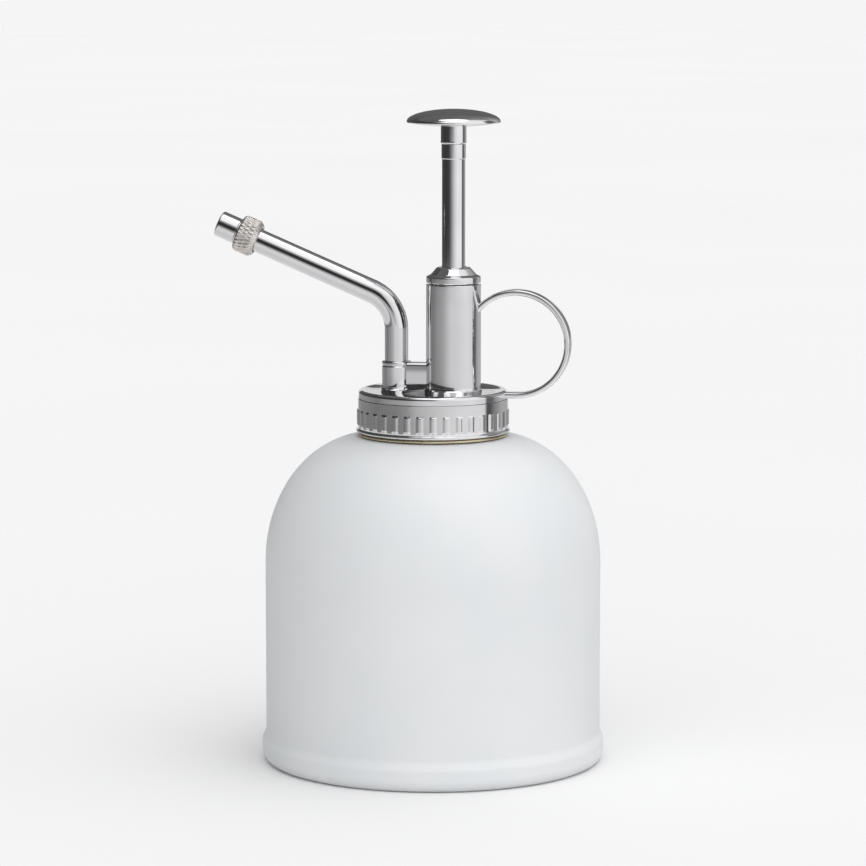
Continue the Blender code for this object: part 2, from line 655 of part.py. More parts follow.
def make_nozzle(nozzle, mats):
    """What turns: the knurled ring and the bored cap with its spray hole."""
    bore = TUBE_R + GAP
    ring = [(bore, RING_START), (RING_R - 0.8, RING_START), (RING_R, RING_START + 1.0)]
    ring += [(RING_R, RING_END - 0.4), (RING_R - 0.4, RING_END), (bore, RING_END)]

    def knurled(r, z, i):
        return r - RING_TOOTH if i % 2 and r > RING_R - 0.01 else r

    turned("nozzle_ring", ring, nozzle, mats["satin_nickel"], 2 * RING_TEETH, radius_at=knurled)
    cap_start = RING_END + GAP
    sleeve_r = bore - GAP
    inner_end = NOZZLE_END - ORIFICE_DEPTH
    cap = [(NOZZLE_BORE_R, NOZZLE_LOW), (sleeve_r, NOZZLE_LOW), (sleeve_r, cap_start)]
    cap += [(NOZZLE_R, cap_start), (NOZZLE_R, NOZZLE_END - 0.4), (NOZZLE_R - 0.4, NOZZLE_END)]
    cap += [(ORIFICE_R, NOZZLE_END), (ORIFICE_R, inner_end), (NOZZLE_BORE_R, inner_end)]
    turned("nozzle_cap", cap, nozzle, mats["chrome"], 24)


def make_finger_loop(head, finish):
    """A flat strip that leaves the deck's rim, rounds the finger and meets the barrel."""
    path = [((DECK_R - 1.0, LOOP_Z - LOOP_R), (1.0, 0.0))]
    steps = 30
    for i in range(steps + 1):
        angle = math.radians(-90 + 240 * i / steps)
        point = (LOOP_X + LOOP_R * math.cos(angle), LOOP_Z + LOOP_R * math.sin(angle))
        path.append((point, (-math.sin(angle), math.cos(angle))))
    half, wide, edge = STRIP_THICK / 2, STRIP_WIDTH / 2, STRIP_EDGE
    outline = [(half, -wide + edge), (half, wide - edge), (half - edge, wide), (edge - half, wide)]
    outline += [(-half, wide - edge), (-half, edge - wide), (edge - half, -wide), (half - edge, -wide)]
    loop = swept("finger_loop", path, [outline], head, finish)
    low = LOOP_Z - LOOP_R - 4
    deck_cutter = rod("loop_cut_deck", COLLAR_R + GAP, low, DECK_TOP + 1, head, segments=48)
    high = LOOP_Z + LOOP_R
    barrel_cutter = rod("loop_cut_barrel", BARREL_R + GAP, LOOP_Z, high, head, at=(PUMP_X, 0.0, 0.0))
    combine(loop, deck_cutter, "DIFFERENCE")
    combine(loop, barrel_cutter, "DIFFERENCE")


def main():
    clear_scene()
    mats = make_materials()
    bottle_body = group("bottle_body")
    head = group("head", parent=bottle_body)
    collar = group("collar", parent=head)
    plunger = group("plunger", (PUMP_X, 0.0, 0.0), parent=head)
    inlet_lift = group("inlet_lift", (PUMP_X, 0.0, 0.0), parent=head)
    outlet_lift = group("outlet_lift", (SPOUT_X, 0.0, 0.0), parent=head)
    climb = SPOUT_ANGLE - math.pi / 2
    spout_corner = (SPOUT_X, 0.0, SPOUT_CORNER_Z)
    nozzle_axis = group("nozzle_axis", spout_corner, climb, head)
    nozzle = group("nozzle", parent=nozzle_axis)

    make_bottle(bottle_body, mats["white_glass"])
    make_screw_collar(collar, mats["chrome"])
    make_collar_liner(collar, mats["brass"])
    make_neck_gasket(head, mats["rubber"])
    make_pump_body(head, mats["white_plastic"])
    make_deck_cap(head, mats["chrome"])
    make_barrel(head, mats["chrome"], mats["rubber"])
    make_plunger(plunger, mats)
    make_return_spring(head, mats["steel"])
    make_inlet_valve(head, inlet_lift, mats)
    make_outlet_valve(head, outlet_lift, mats)
    make_dip_tube(head, mats)
    make_spout(head, mats)
    make_nozzle_core(nozzle_axis, mats)
    make_nozzle(nozzle, mats)
    make_finger_loop(head, mats["chrome"])


main()
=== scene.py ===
"""Looks of the hand mister: fine surfaces, procedural materials, studio light and the camera.

Lengths are drawn in millimetres and become metres where a mesh is made. Outer sizes are read
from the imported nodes, and the constants below add the detail that those nodes leave out.
"""

import math

import bmesh
import bpy
from mathutils import Matrix, Vector


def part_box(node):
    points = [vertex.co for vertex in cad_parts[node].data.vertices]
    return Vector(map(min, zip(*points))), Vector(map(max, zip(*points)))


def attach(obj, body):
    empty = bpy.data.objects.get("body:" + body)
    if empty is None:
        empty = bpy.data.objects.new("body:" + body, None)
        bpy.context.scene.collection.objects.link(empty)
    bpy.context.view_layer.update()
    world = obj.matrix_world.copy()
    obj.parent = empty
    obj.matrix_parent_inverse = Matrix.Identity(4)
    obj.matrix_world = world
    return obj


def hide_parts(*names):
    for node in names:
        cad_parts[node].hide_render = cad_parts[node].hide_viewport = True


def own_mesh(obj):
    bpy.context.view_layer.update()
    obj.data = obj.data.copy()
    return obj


MM = 0.001
TAU = 2 * math.pi
ON_AXIS = 1e-6
SAME = 1e-4

# A straight line longer than the first gets a point this far inside each end
HELD_LENGTH = 0.5
HELD_INSET = 0.05

# Bottle
BOTTLE_SEGMENTS = 192
FOOT_TOP = 5.6
FOOT_STEP = 3.0
FOOT_ROUND_R = 2.8
FOOT_ROUND_Z = 3.4
BODY_R = 45.0
WALL = 2.8
BASE = 4.5
INNER_ROUND = 6.0
DOME_START = 54.0
DOME_TOP = 88.0
DOME_CENTER_R = 18.0
INNER_DOME_CENTER_R = 16.0
NECK_R = 16.4
NECK_BORE_R = 14.3
NECK_STEP = 0.7
NECK_LOW = DOME_TOP + NECK_STEP
NECK_ROUND = 0.5
THREAD_CREST_R = 17.3
THREAD_LOW = 90.2
THREAD_PITCH = 1.7
THREAD_TURNS = 1.3
THREAD_HALF = 0.62
THREAD_FLAT = 0.25
THREAD_FADE = 0.06

# Collar and liner
RIB_COUNT = 36
RIB_HEIGHT = 0.28
RIB_LOW = 1.4
RIB_TOP = 6.1
RIB_END = 0.45
RIB_FLANK = (0.22, 0.52)
COLLAR_ROLL = 0.5
COLLAR_ROLL_TOP = 0.72
COLLAR_WALL = 0.8
COLLAR_PLATE = 0.9
COLLAR_HOLE_R = 15.3
LINER_R = 18.9
LINER_BORE_R = 18.1
LINER_CREST_R = 17.5
LINER_FLANGE = 0.6
LINER_THREAD_SHIFT = 0.85

# Deck, barrel and plunger
DECK_PLATE = 1.2
DECK_WALL = 0.8
DECK_SEAM = 0.08
BARREL_WALL = 0.65
CAP_BAND = 1.7
PUMP_HOLE_R = 6.3
TUBE_HOLE_R = 3.5
CAP_BORE_R = 3.4
CAP_CAVITY_R = 5.6
CAP_CAVITY_TOP = 131.2
ROD_SHOULDER_Z = 129.1
ROD_R = 3.1
ROD_STOP_LOW = 162.0
SPIGOT_R = 1.6
TOP_SPIGOT_R = 2.0
HUB_OVERLAP = 0.28
BUTTON_EDGE_Z = 171.9
BUTTON_RIM_R = 0.3
BUTTON_SOCKET = 1.5

# Spout and nozzle; the nozzle's places are distances along the spout from its corner
WEB_EDGE = 0.9
WEB_OVERLAP = 1.2
FERRULE_GROOVE = 0.22
SPOUT_ANGLE = math.radians(22.9)
SPOUT_CORNER_Z = 123.6
BEND_R = 11.0
TUBE_BORE_R = 2.3
TUBE_END = 41.5
RING_R = 5.05
RING_BORE_R = 3.5
RING_START = 41.0
RING_END = 46.5
KNURLS = 26
KNURL_DEPTH = 0.32
KNURL_SLANT = 0.16
NOSE_R = 3.5
NOSE_BORE_R = 2.75
NOSE_SLEEVE_R = 3.2
NOSE_LOW = 43.5
NOSE_END = 52.5
NOSE_GAP = 0.08
NOSE_FACE = 1.1
ORIFICE_R = 0.35

# Springs: points in a turn and round the wire, the rise of an end turn in wire radii, and each
# spring's wire radius and turns
SPRING_POINTS = 28
WIRE_SIDES = 12
END_TURN_RISE = 2.2
RETURN_WIRE_R = 0.3
RETURN_TURNS = 11
OUTLET_WIRE_R = 0.18
OUTLET_TURNS = 6

# Dip tube
DIP_BORE_R = 1.7

# Finger loop
LOOP_X = 22.65
LOOP_Z = 113.0
LOOP_R = 13.75
LOOP_SWEEP = 240.0
LOOP_RIM_OVERLAP = 0.4
LOOP_BARREL_OVERLAP = 0.15
STRIP_THICK = 1.6
STRIP_EDGE = 0.6

# Camera, in metres and degrees: in front, turned a little to the loop's side
VIEW_AZIMUTH = 10.0
CAMERA_REACH = 1.07
CAMERA_Z = 0.231
TARGET_Z = 0.0885
FRAME_WIDTH = 0.232
CAMERA_CLIP = 60.0

# Sky brightness at the top and at the horizon, how much it swings towards the bright side, and
# how much brighter its front and back are than its sides
SKY_TOP = 1.5
SKY_EDGE = 0.5
SKY_SWING = 0.75
SKY_BRIGHT_SIDE = 43.0
SKY_FRONT_BACK = 0.5
SKY_LEAST = 0.03

# Pale backdrop, in metres; its glow matches the lit floor
BACKDROP_R = 6.0
BACKDROP_TOP = 6.0
BACKDROP_GLOW = 0.916
BACKDROP_CLOUD = 0.004
BACKDROP_CLOUD_SCALE = 0.1
FLOOR_R = 14.0

# Surround for the mirrors, in metres and degrees. Its rows of greys lie one above the other,
# and each blends into the next between two heights. A dark band in front fades in and out
# between the two values of each of its sides. BACK_WINDOW is its side, its top and its grey.
SURROUND_R = 0.5
SURROUND_TOP = 1.6
STAGE_LOW = 0.002
STAGE_SEGMENTS = 180
ROW_STEPS = ((0.039, 0.044), (0.08, 0.09), (0.52, 0.64))
BAND_LOW = (0.13, 0.16)
BAND_HIGH = (0.36, 0.44)
BAND_LEFT = (-65.0, -45.0)
BAND_RIGHT = (-2.0, 10.0)
BAND_GREY = 0.03
BACK_WINDOW = (160.0, 0.2, 0.72)

# Greys of the surround's rows and of the card round the bottle, by degrees right of the front
SURROUND_COLLAR = (
    (-180, 0.40), (-144, 0.26), (-94, 0.18), (-56, 0.21), (-38, 0.28), (-27, 0.43), (-6, 0.52),
    (16, 0.64), (38, 0.74), (76, 0.76), (85, 0.72), (89, 0.06), (97, 0.08), (108, 0.24),
    (130, 0.42), (180, 0.40),
)
SURROUND_LOW = (
    (-180, 0.38), (-144, 0.30), (-94, 0.20), (-74, 0.29), (-56, 0.34), (-38, 0.43), (-23, 0.58),
    (-8, 0.68), (8, 0.69), (23, 0.72), (38, 0.75), (56, 0.79), (76, 0.74), (86, 0.72), (90, 0.12),
    (104, 0.14), (112, 0.34), (128, 0.46), (180, 0.40),
)
SURROUND_HIGH = (
    (-180, 0.12), (-140, 0.07), (-90, 0.04), (-45, 0.05), (-28, 0.16), (-8, 0.42), (16, 0.74),
    (41, 0.92), (69, 0.90), (86, 0.90), (91, 0.14), (116, 0.12), (124, 0.45), (140, 0.35),
    (165, 0.12), (180, 0.12),
)
SURROUND_UPPER = (
    (-180, 0.13), (-60, 0.10), (-42, 0.35), (-30, 1.0), (25, 1.05), (60, 0.95), (105, 0.85), (130, 0.25),
    (180, 0.13),
)
FLOOR_CARD_R = 0.052
FLOOR_CARD = (
    (-180, 0.60), (-150, 0.74), (-120, 0.70), (-90, 0.62), (-64, 0.66), (-40, 0.73), (-22, 0.78),
    (10, 0.86), (60, 0.92), (84, 0.86), (91, 0.30), (106, 0.34), (118, 0.64), (150, 0.82),
    (180, 0.60),
)


# ---------------------------------------------------------------- meshes


def span(node):
    """A node's lowest and highest corner, in millimetres."""
    low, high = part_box(node)
    return low / MM, high / MM


def add_piece(name, bm, finish, at=(0.0, 0.0, 0.0), tilt=0.0, sharp=40.0):
    """Turns a mesh drawn in millimetres into a smooth-shaded object in metres."""
    bmesh.ops.recalc_face_normals(bm, faces=bm.faces)
    place = Matrix.Translation(Vector(at)) @ Matrix.Rotation(tilt, 4, "Y")
    bm.transform(Matrix.Scale(MM, 4) @ place)
    mesh = bpy.data.meshes.new(name)
    bm.to_mesh(mesh)
    bm.free()
    mesh.shade_smooth()
    mesh.set_sharp_from_angle(angle=math.radians(sharp))
    mesh.materials.append(finish)
    obj = bpy.data.objects.new(name, mesh)
    bpy.context.scene.collection.objects.link(obj)
    return obj


def rounded(corners, closed, steps=6):
    """Rounds the corners of an outline. A corner is (r, z) or (r, z, radius)."""
    points = []
    count = len(corners)
    for i, corner in enumerate(corners):
        here = Vector(corner[:2])
        radius = corner[2] if len(corner) > 2 else 0.0
        if not radius or (not closed and i in (0, count - 1)):
            points.append(tuple(here))
            continue
        before = (Vector(corners[i - 1][:2]) - here).normalized()
        after = (Vector(corners[(i + 1) % count][:2]) - here).normalized()
        half = before.angle(after) / 2
        reach = radius / math.tan(half)
        middle = here + (before + after).normalized() * (radius / math.sin(half))
        start, end = here + before * reach - middle, here + after * reach - middle
        for k in range(steps + 1):
            share = k / steps
            sweep = start.angle(end)
            if sweep < SAME:
                points.append(tuple(here))
                break
            blend = start * math.sin((1 - share) * sweep) + end * math.sin(share * sweep)
            points.append(tuple(middle + blend / math.sin(sweep)))
    return points


def arc(center_r, center_z, radius_r, radius_z, start, end, count):
    """Points on an elliptic arc in the profile plane, with angles in degrees from +r to +z."""
    points = []
    for i in range(count + 1):
        angle = math.radians(start + (end - start) * i / count)
        points.append((center_r + radius_r * math.cos(angle), center_z + radius_z * math.sin(angle)))
    return points


def held(profile, closed):
    """Adds a point just inside each end of every long line, so that it shades as straight."""
    points = []
    for i, here in enumerate(profile):
        points.append(tuple(here))
        if i == len(profile) - 1 and not closed:
            break
        start, end = Vector(here), Vector(profile[(i + 1) % len(profile)])
        length = (end - start).length
        if length > HELD_LENGTH:
            step = (end - start) * (HELD_INSET / length)
            points += [tuple(start + step), tuple(end - step)]
    return points


def turned(name, profile, finish, segments=96, at=(0.0, 0.0, 0.0), tilt=0.0,
           radius_at=None, sharp=40.0):
    """Turns (r, z) points about Z. A profile that starts and ends on the axis is a solid,
    and any other is closed into a ring. radius_at(r, z, angle) can vary the radius."""
    bm = bmesh.new()
    rings = []
    for r, z in held(profile, profile[0][0] > ON_AXIS):
        if r < ON_AXIS:
            rings.append([bm.verts.new((0.0, 0.0, z))])
            continue
        ring = []
        for i in range(segments):
            angle = TAU * i / segments
            reach = radius_at(r, z, angle) if radius_at else r
            ring.append(bm.verts.new((reach * math.cos(angle), reach * math.sin(angle), z)))
        rings.append(ring)
    pairs = list(zip(rings, rings[1:]))
    if len(rings[0]) > 1:
        pairs.append((rings[-1], rings[0]))
    for low, high in pairs:
        for i in range(segments):
            j = (i + 1) % segments
            if len(low) == 1:
                bm.faces.new((low[0], high[i], high[j]))
            elif len(high) == 1:
                bm.faces.new((low[i], low[j], high[0]))
            else:
                bm.faces.new((low[i], low[j], high[j], high[i]))
    return add_piece(name, bm, finish, at, tilt, sharp)


def ring_of(r_in, r_out, z_low, z_high, edge=0.0):
    """A rectangle's corners, for a plain tube or washer with rounded edges."""
    return [(r_in, z_low, edge), (r_out, z_low, edge), (r_out, z_high, edge), (r_in, z_high, edge)]


def swept(name, path, outlines, finish, sharp=40.0):
    """Sweeps closed outlines along (point, direction) pairs in the XZ plane. Two outlines
    make a pipe, and one makes a solid bar."""
    bm = bmesh.new()
    skins = []
    for outline in outlines:
        rings = []
        count = len(outline)
        for (x, z), (dx, dz) in path:
            rings.append([bm.verts.new((x - dz * u, v, z + dx * u)) for u, v in outline])
        for low, high in zip(rings, rings[1:]):
            for i in range(count):
                j = (i + 1) % count
                bm.faces.new((low[i], low[j], high[j], high[i]))
        skins.append(rings)
    for end in (0, -1):
        outer = skins[0][end]
        if len(skins) == 1:
            bm.faces.new(outer)
            continue
        inner = skins[1][end]
        for i in range(len(outer)):
            j = (i + 1) % len(outer)
            bm.faces.new((outer[i], outer[j], inner[j], inner[i]))
    return add_piece(name, bm, finish, sharp=sharp)


def circle(radius, count):
    """Evenly spaced points round a circle."""
    angles = [TAU * i / count for i in range(count)]
    return [(radius * math.cos(angle), radius * math.sin(angle)) for angle in angles]


def smooth_step(low, high, value):
    """0 below low, 1 above high, and a smooth rise between them."""
    share = min(1.0, max(0.0, (value - low) / (high - low)))
    return share * share * (3 - 2 * share)


def cut_away(obj, cutter):
    """Cuts cutter out of obj, and removes cutter."""
    boolean = obj.modifiers.new("cut", "BOOLEAN")
    boolean.operation = "DIFFERENCE"
    boolean.solver = "EXACT"
    boolean.object = cutter
    graph = bpy.context.evaluated_depsgraph_get()
    mesh = bpy.data.meshes.new_from_object(obj.evaluated_get(graph))
    obj.modifiers.clear()
    mesh.name = obj.name
    obj.data = mesh
    bpy.data.objects.remove(cutter, do_unlink=True)


# ---------------------------------------------------------------- materials


class Nodes:
    """Small helper that adds nodes to a material and links them."""

    def __init__(self, name):
        self.material = bpy.data.materials.new(name)
        self.material.use_nodes = True
        self.tree = self.material.node_tree
        self.shader = self.tree.nodes["Principled BSDF"]
        self.coords = self.tree.nodes.new("ShaderNodeTexCoord").outputs["Object"]

    def link(self, source, target):
        self.tree.links.new(source, target)

    def set(self, **values):
        for key, value in values.items():
            self.shader.inputs[key.replace("_", " ")].default_value = value

    def stretched(self, scale):
        mapping = self.tree.nodes.new("ShaderNodeMapping")
        mapping.inputs["Scale"].default_value = scale
        self.link(self.coords, mapping.inputs["Vector"])
        return mapping.outputs["Vector"]

    def noise(self, scale, detail=3.0, roughness=0.5, stretch=None):
        noise = self.tree.nodes.new("ShaderNodeTexNoise")
        noise.inputs["Scale"].default_value = scale
        noise.inputs["Detail"].default_value = detail
        noise.inputs["Roughness"].default_value = roughness
        self.link(self.stretched(stretch) if stretch else self.coords, noise.inputs["Vector"])
        return noise.outputs["Fac"]

    def spread(self, value, low, high, from_low=0.3, from_high=0.7):
        ranged = self.tree.nodes.new("ShaderNodeMapRange")
        ranged.inputs["From Min"].default_value = from_low
        ranged.inputs["From Max"].default_value = from_high
        ranged.inputs["To Min"].default_value = low
        ranged.inputs["To Max"].default_value = high
        self.link(value, ranged.inputs["Value"])
        return ranged.outputs["Result"]

    def colors(self, value, stops):
        """A colour ramp between two (place, colour) stops."""
        ramp = self.tree.nodes.new("ShaderNodeValToRGB")
        for element, (place, color) in zip(ramp.color_ramp.elements, stops):
            element.position = place
            element.color = (*color, 1.0)
        self.link(value, ramp.inputs["Fac"])
        return ramp.outputs["Color"]

    def bump(self, height, strength, distance, base=None):
        bump = self.tree.nodes.new("ShaderNodeBump")
        bump.inputs["Strength"].default_value = strength
        bump.inputs["Distance"].default_value = distance
        self.link(height, bump.inputs["Height"])
        if base:
            self.link(base, bump.inputs["Normal"])
        return bump.outputs["Normal"]


def satin_glass():
    """Opal glass with a fine acid-etched skin: a soft sheen, faint clouds and a fine grain."""
    n = Nodes("satin_glass")
    clouds = n.noise(38.0, 2.0)
    tint = n.colors(clouds, [(0.3, (0.645, 0.667, 0.680)), (0.7, (0.675, 0.685, 0.690))])
    n.link(tint, n.shader.inputs["Base Color"])
    n.link(n.spread(n.noise(160.0, 4.0), 0.44, 0.56), n.shader.inputs["Roughness"])
    wave = n.bump(n.noise(55.0, 1.0), 0.06, 0.0006)
    n.link(n.bump(n.noise(2600.0, 3.0, 0.6), 0.12, 0.00006, wave), n.shader.inputs["Normal"])
    n.set(IOR=1.5, Subsurface_Weight=0.25, Subsurface_Scale=0.004)
    n.shader.inputs["Subsurface Radius"].default_value = (1.0, 1.0, 1.05)
    return n.material


def chrome(name, low, high, wave, stretch=(1.0, 1.0, 1.0)):
    """Polished plate: nearly mirror-like, with faint clouds, hairlines and a slight waviness."""
    n = Nodes(name)
    clouds = n.noise(90.0, 3.0)
    tint = n.colors(clouds, [(0.3, (0.83, 0.825, 0.845)), (0.7, (0.90, 0.89, 0.905))])
    n.link(tint, n.shader.inputs["Base Color"])
    n.link(n.spread(n.noise(240.0, 5.0), low, high), n.shader.inputs["Roughness"])
    slow = n.bump(n.noise(70.0, 1.0), wave, 0.0004)
    hair = n.noise(900.0, 2.0, 0.5, stretch)
    n.link(n.bump(hair, 0.05, 0.00002, slow), n.shader.inputs["Normal"])
    n.set(Metallic=1.0)
    return n.material


def satin_nickel():
    """Warm blasted nickel with a faint, randomly mottled tone."""
    n = Nodes("satin_nickel")
    n.link(n.colors(n.noise(700.0, 4.0), [(0.3, (0.67, 0.625, 0.595)), (0.7, (0.86, 0.82, 0.79))]),
           n.shader.inputs["Base Color"])
    n.link(n.spread(n.noise(1100.0, 3.0), 0.28, 0.42), n.shader.inputs["Roughness"])
    n.link(n.bump(n.noise(2400.0, 3.0), 0.25, 0.00005), n.shader.inputs["Normal"])
    n.set(Metallic=1.0)
    return n.material


def turned_metal(name, dark, light, rough):
    """Plain machined metal with fine turning marks."""
    n = Nodes(name)
    n.link(n.colors(n.noise(160.0, 4.0), [(0.3, dark), (0.7, light)]), n.shader.inputs["Base Color"])
    n.link(n.spread(n.noise(300.0, 3.0), rough - 0.06, rough + 0.06), n.shader.inputs["Roughness"])
    n.link(n.bump(n.noise(400.0, 2.0, 0.5, (0.2, 0.2, 12.0)), 0.12, 0.00004), n.shader.inputs["Normal"])
    n.set(Metallic=1.0)
    return n.material


def moulded_plastic(name, dark, light, rough, glow):
    """Moulded plastic with faint flow clouds and a fine mould texture."""
    n = Nodes(name)
    n.link(n.colors(n.noise(60.0, 3.0), [(0.3, dark), (0.7, light)]), n.shader.inputs["Base Color"])
    n.link(n.spread(n.noise(200.0, 3.0), rough - 0.06, rough + 0.06), n.shader.inputs["Roughness"])
    n.link(n.bump(n.noise(1500.0, 3.0), 0.15, 0.00005), n.shader.inputs["Normal"])
    n.set(IOR=1.49, Subsurface_Weight=glow, Subsurface_Scale=0.002)
    return n.material


def milky_tube():
    """Natural polyethylene: cloudy, and letting a little light through."""
    n = Nodes("milky_tube")
    streaks = n.noise(120.0, 3.0, 0.5, (1.0, 1.0, 0.1))
    tint = n.colors(streaks, [(0.3, (0.72, 0.75, 0.77)), (0.7, (0.84, 0.86, 0.87))])
    n.link(tint, n.shader.inputs["Base Color"])
    n.link(n.spread(n.noise(300.0, 3.0), 0.16, 0.28), n.shader.inputs["Roughness"])
    n.link(n.bump(streaks, 0.08, 0.0001), n.shader.inputs["Normal"])
    n.set(IOR=1.5, Transmission_Weight=0.35, Subsurface_Weight=0.3, Subsurface_Scale=0.002)
    return n.material


def black_rubber():
    n = Nodes("black_rubber")
    n.link(n.colors(n.noise(300.0, 4.0), [(0.3, (0.018, 0.018, 0.019)), (0.7, (0.045, 0.045, 0.046))]),
           n.shader.inputs["Base Color"])
    n.link(n.spread(n.noise(500.0, 3.0), 0.5, 0.68), n.shader.inputs["Roughness"])
    n.link(n.bump(n.noise(1800.0, 3.0), 0.3, 0.00006), n.shader.inputs["Normal"])
    return n.material


def make_materials():
    return {
        "glass": satin_glass(),
        "chrome": chrome("chrome", 0.035, 0.075, 0.05),
        "chrome_tube": chrome("chrome_tube", 0.04, 0.085, 0.04, (1.0, 1.0, 0.06)),
        "chrome_pressed": chrome("chrome_pressed", 0.05, 0.11, 0.12),
        "satin_nickel": satin_nickel(),
        "brass": turned_metal("brass", (0.62, 0.53, 0.34), (0.78, 0.69, 0.50), 0.30),
        "steel": turned_metal("steel", (0.46, 0.46, 0.48), (0.66, 0.66, 0.68), 0.24),
        "plastic": moulded_plastic("white_plastic", (0.76, 0.76, 0.735), (0.84, 0.84, 0.82), 0.42, 0.3),
        "tube": milky_tube(),
        "rubber": black_rubber(),
    }


# ---------------------------------------------------------------- bottle


def bottle_profile(foot_r, neck_top):
    """The outside from the base's centre to the rim, then the inside down to the floor."""
    inner_r = BODY_R - WALL
    points = [(0.0, 0.0), (20.0, 0.0), (foot_r - 4.0, 0.0)]
    points += arc(foot_r - FOOT_ROUND_R, FOOT_ROUND_Z, FOOT_ROUND_R, FOOT_ROUND_Z, -90, 0, 12)[1:]
    steps = 12
    for i in range(steps + 1):
        share = i / steps
        radius = foot_r + (BODY_R - foot_r) * smooth_step(0.0, 1.0, share)
        points.append((radius, FOOT_TOP + FOOT_STEP * share))
    points += [(BODY_R, 20.0), (BODY_R, 37.0)]
    points += arc(DOME_CENTER_R, DOME_START, BODY_R - DOME_CENTER_R, DOME_TOP - DOME_START, 0, 88, 64)
    points += [(NECK_R + 0.45, DOME_TOP + 0.05), (NECK_R + 0.15, DOME_TOP + 0.2)]
    points += [(NECK_R, DOME_TOP + 0.6)]
    rings = 42
    for i in range(rings + 1):
        points.append((NECK_R, NECK_LOW + (neck_top - NECK_STEP - NECK_LOW) * i / rings))
    lip = NECK_ROUND
    points += arc(NECK_R - lip, neck_top - lip, lip, lip, 0, 90, 6)
    points += arc(NECK_BORE_R + lip, neck_top - lip, lip, lip, 90, 180, 6)
    points += [(NECK_BORE_R, DOME_TOP - 1.5)]
    inner_reach = inner_r - INNER_DOME_CENTER_R
    points += arc(INNER_DOME_CENTER_R, DOME_START, inner_reach, DOME_TOP - WALL - DOME_START, 88, 0, 40)
    points += arc(inner_r - INNER_ROUND, BASE + INNER_ROUND, INNER_ROUND, INNER_ROUND, 0, -90, 12)
    points += [(18.0, BASE), (0.0, BASE)]
    return points


def thread_height(z, angle):
    """How far the neck's thread stands out at this place, from 0 to 1."""
    best = 0.0
    for turn in (0.0, 1.0):
        along = angle / TAU + turn
        if along > THREAD_TURNS:
            continue
        fade = min(1.0, along / THREAD_FADE, (THREAD_TURNS - along) / THREAD_FADE)
        away = abs(z - (THREAD_LOW + THREAD_PITCH * along)) / THREAD_HALF
        best = max(best, fade * (1.0 - smooth_step(THREAD_FLAT, 1.0, away)))
    return best


def make_bottle(mats):
    high = span("bottle")[1]

    def threaded(r, z, angle):
        if abs(r - NECK_R) > SAME or z < NECK_LOW:
            return r
        return r + (THREAD_CREST_R - NECK_R) * thread_height(z, angle)

    profile = bottle_profile(high.x, high.z)
    bottle = turned("bottle_glass", profile, mats["glass"], BOTTLE_SEGMENTS,
                    radius_at=threaded, sharp=70.0)
    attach(bottle, "bottle")
    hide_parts("bottle")


# ---------------------------------------------------------------- collar


def rib_height(z, angle, low, top):
    """How far the collar's grip ribs stand out at this place, from 0 to 1."""
    across = abs((angle * RIB_COUNT / TAU + 0.5) % 1.0 - 0.5) * 2
    ends = smooth_step(low, low + RIB_END, z) * (1.0 - smooth_step(top - RIB_END, top, z))
    return ends * (1.0 - smooth_step(*RIB_FLANK, across))


def make_collar(mats):
    low, high = span("screw_collar")
    lip_r = high.y
    shell_r = lip_r - COLLAR_ROLL
    inner = shell_r - COLLAR_WALL
    rib_low, rib_top = low.z + RIB_LOW, low.z + RIB_TOP
    outline = [(inner, low.z, 0.2), (lip_r, low.z, 0.33), (lip_r, low.z + COLLAR_ROLL_TOP, 0.33)]
    outline += [(shell_r - 0.05, low.z + 0.95, 0.15), (shell_r, low.z + 1.2)]
    steps = 30
    for i in range(steps + 1):
        outline.append((shell_r, rib_low + (rib_top - rib_low) * i / steps))
    outline += [(shell_r, high.z, 0.06), (COLLAR_HOLE_R, high.z, 0.2)]
    outline += [(COLLAR_HOLE_R, high.z - COLLAR_PLATE, 0.2), (inner, high.z - COLLAR_PLATE, 0.3)]

    def ribbed(r, z, angle):
        if abs(r - shell_r) > SAME or not rib_low < z < rib_top:
            return r
        return r + RIB_HEIGHT * rib_height(z, angle, rib_low, rib_top)

    shell = turned("collar_shell", rounded(outline, True), mats["chrome_pressed"], RIB_COUNT * 14,
                   radius_at=ribbed)
    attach(shell, "collar")
    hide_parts("screw_collar")


def make_liner(mats):
    low, high = span("collar_liner")
    flange = low.z + LINER_FLANGE
    outline = [(LINER_BORE_R, low.z, 0.1), (high.y, low.z, 0.25), (high.y, flange, 0.25)]
    outline += [(LINER_R, flange, 0.1), (LINER_R, high.z, 0.2), (LINER_BORE_R, high.z, 0.2)]
    steps = 48
    top, bottom = high.z - 0.5, low.z + 0.3
    for i in range(steps + 1):
        outline.append((LINER_BORE_R, top + (bottom - top) * i / steps))

    def threaded(r, z, angle):
        if abs(r - LINER_BORE_R) > SAME:
            return r
        depth = LINER_BORE_R - LINER_CREST_R
        return r - depth * thread_height(z - LINER_THREAD_SHIFT, angle)

    liner = turned("liner_sleeve", rounded(outline, True), mats["brass"], 144, radius_at=threaded)
    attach(liner, "collar")
    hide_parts("collar_liner")


# ---------------------------------------------------------------- head


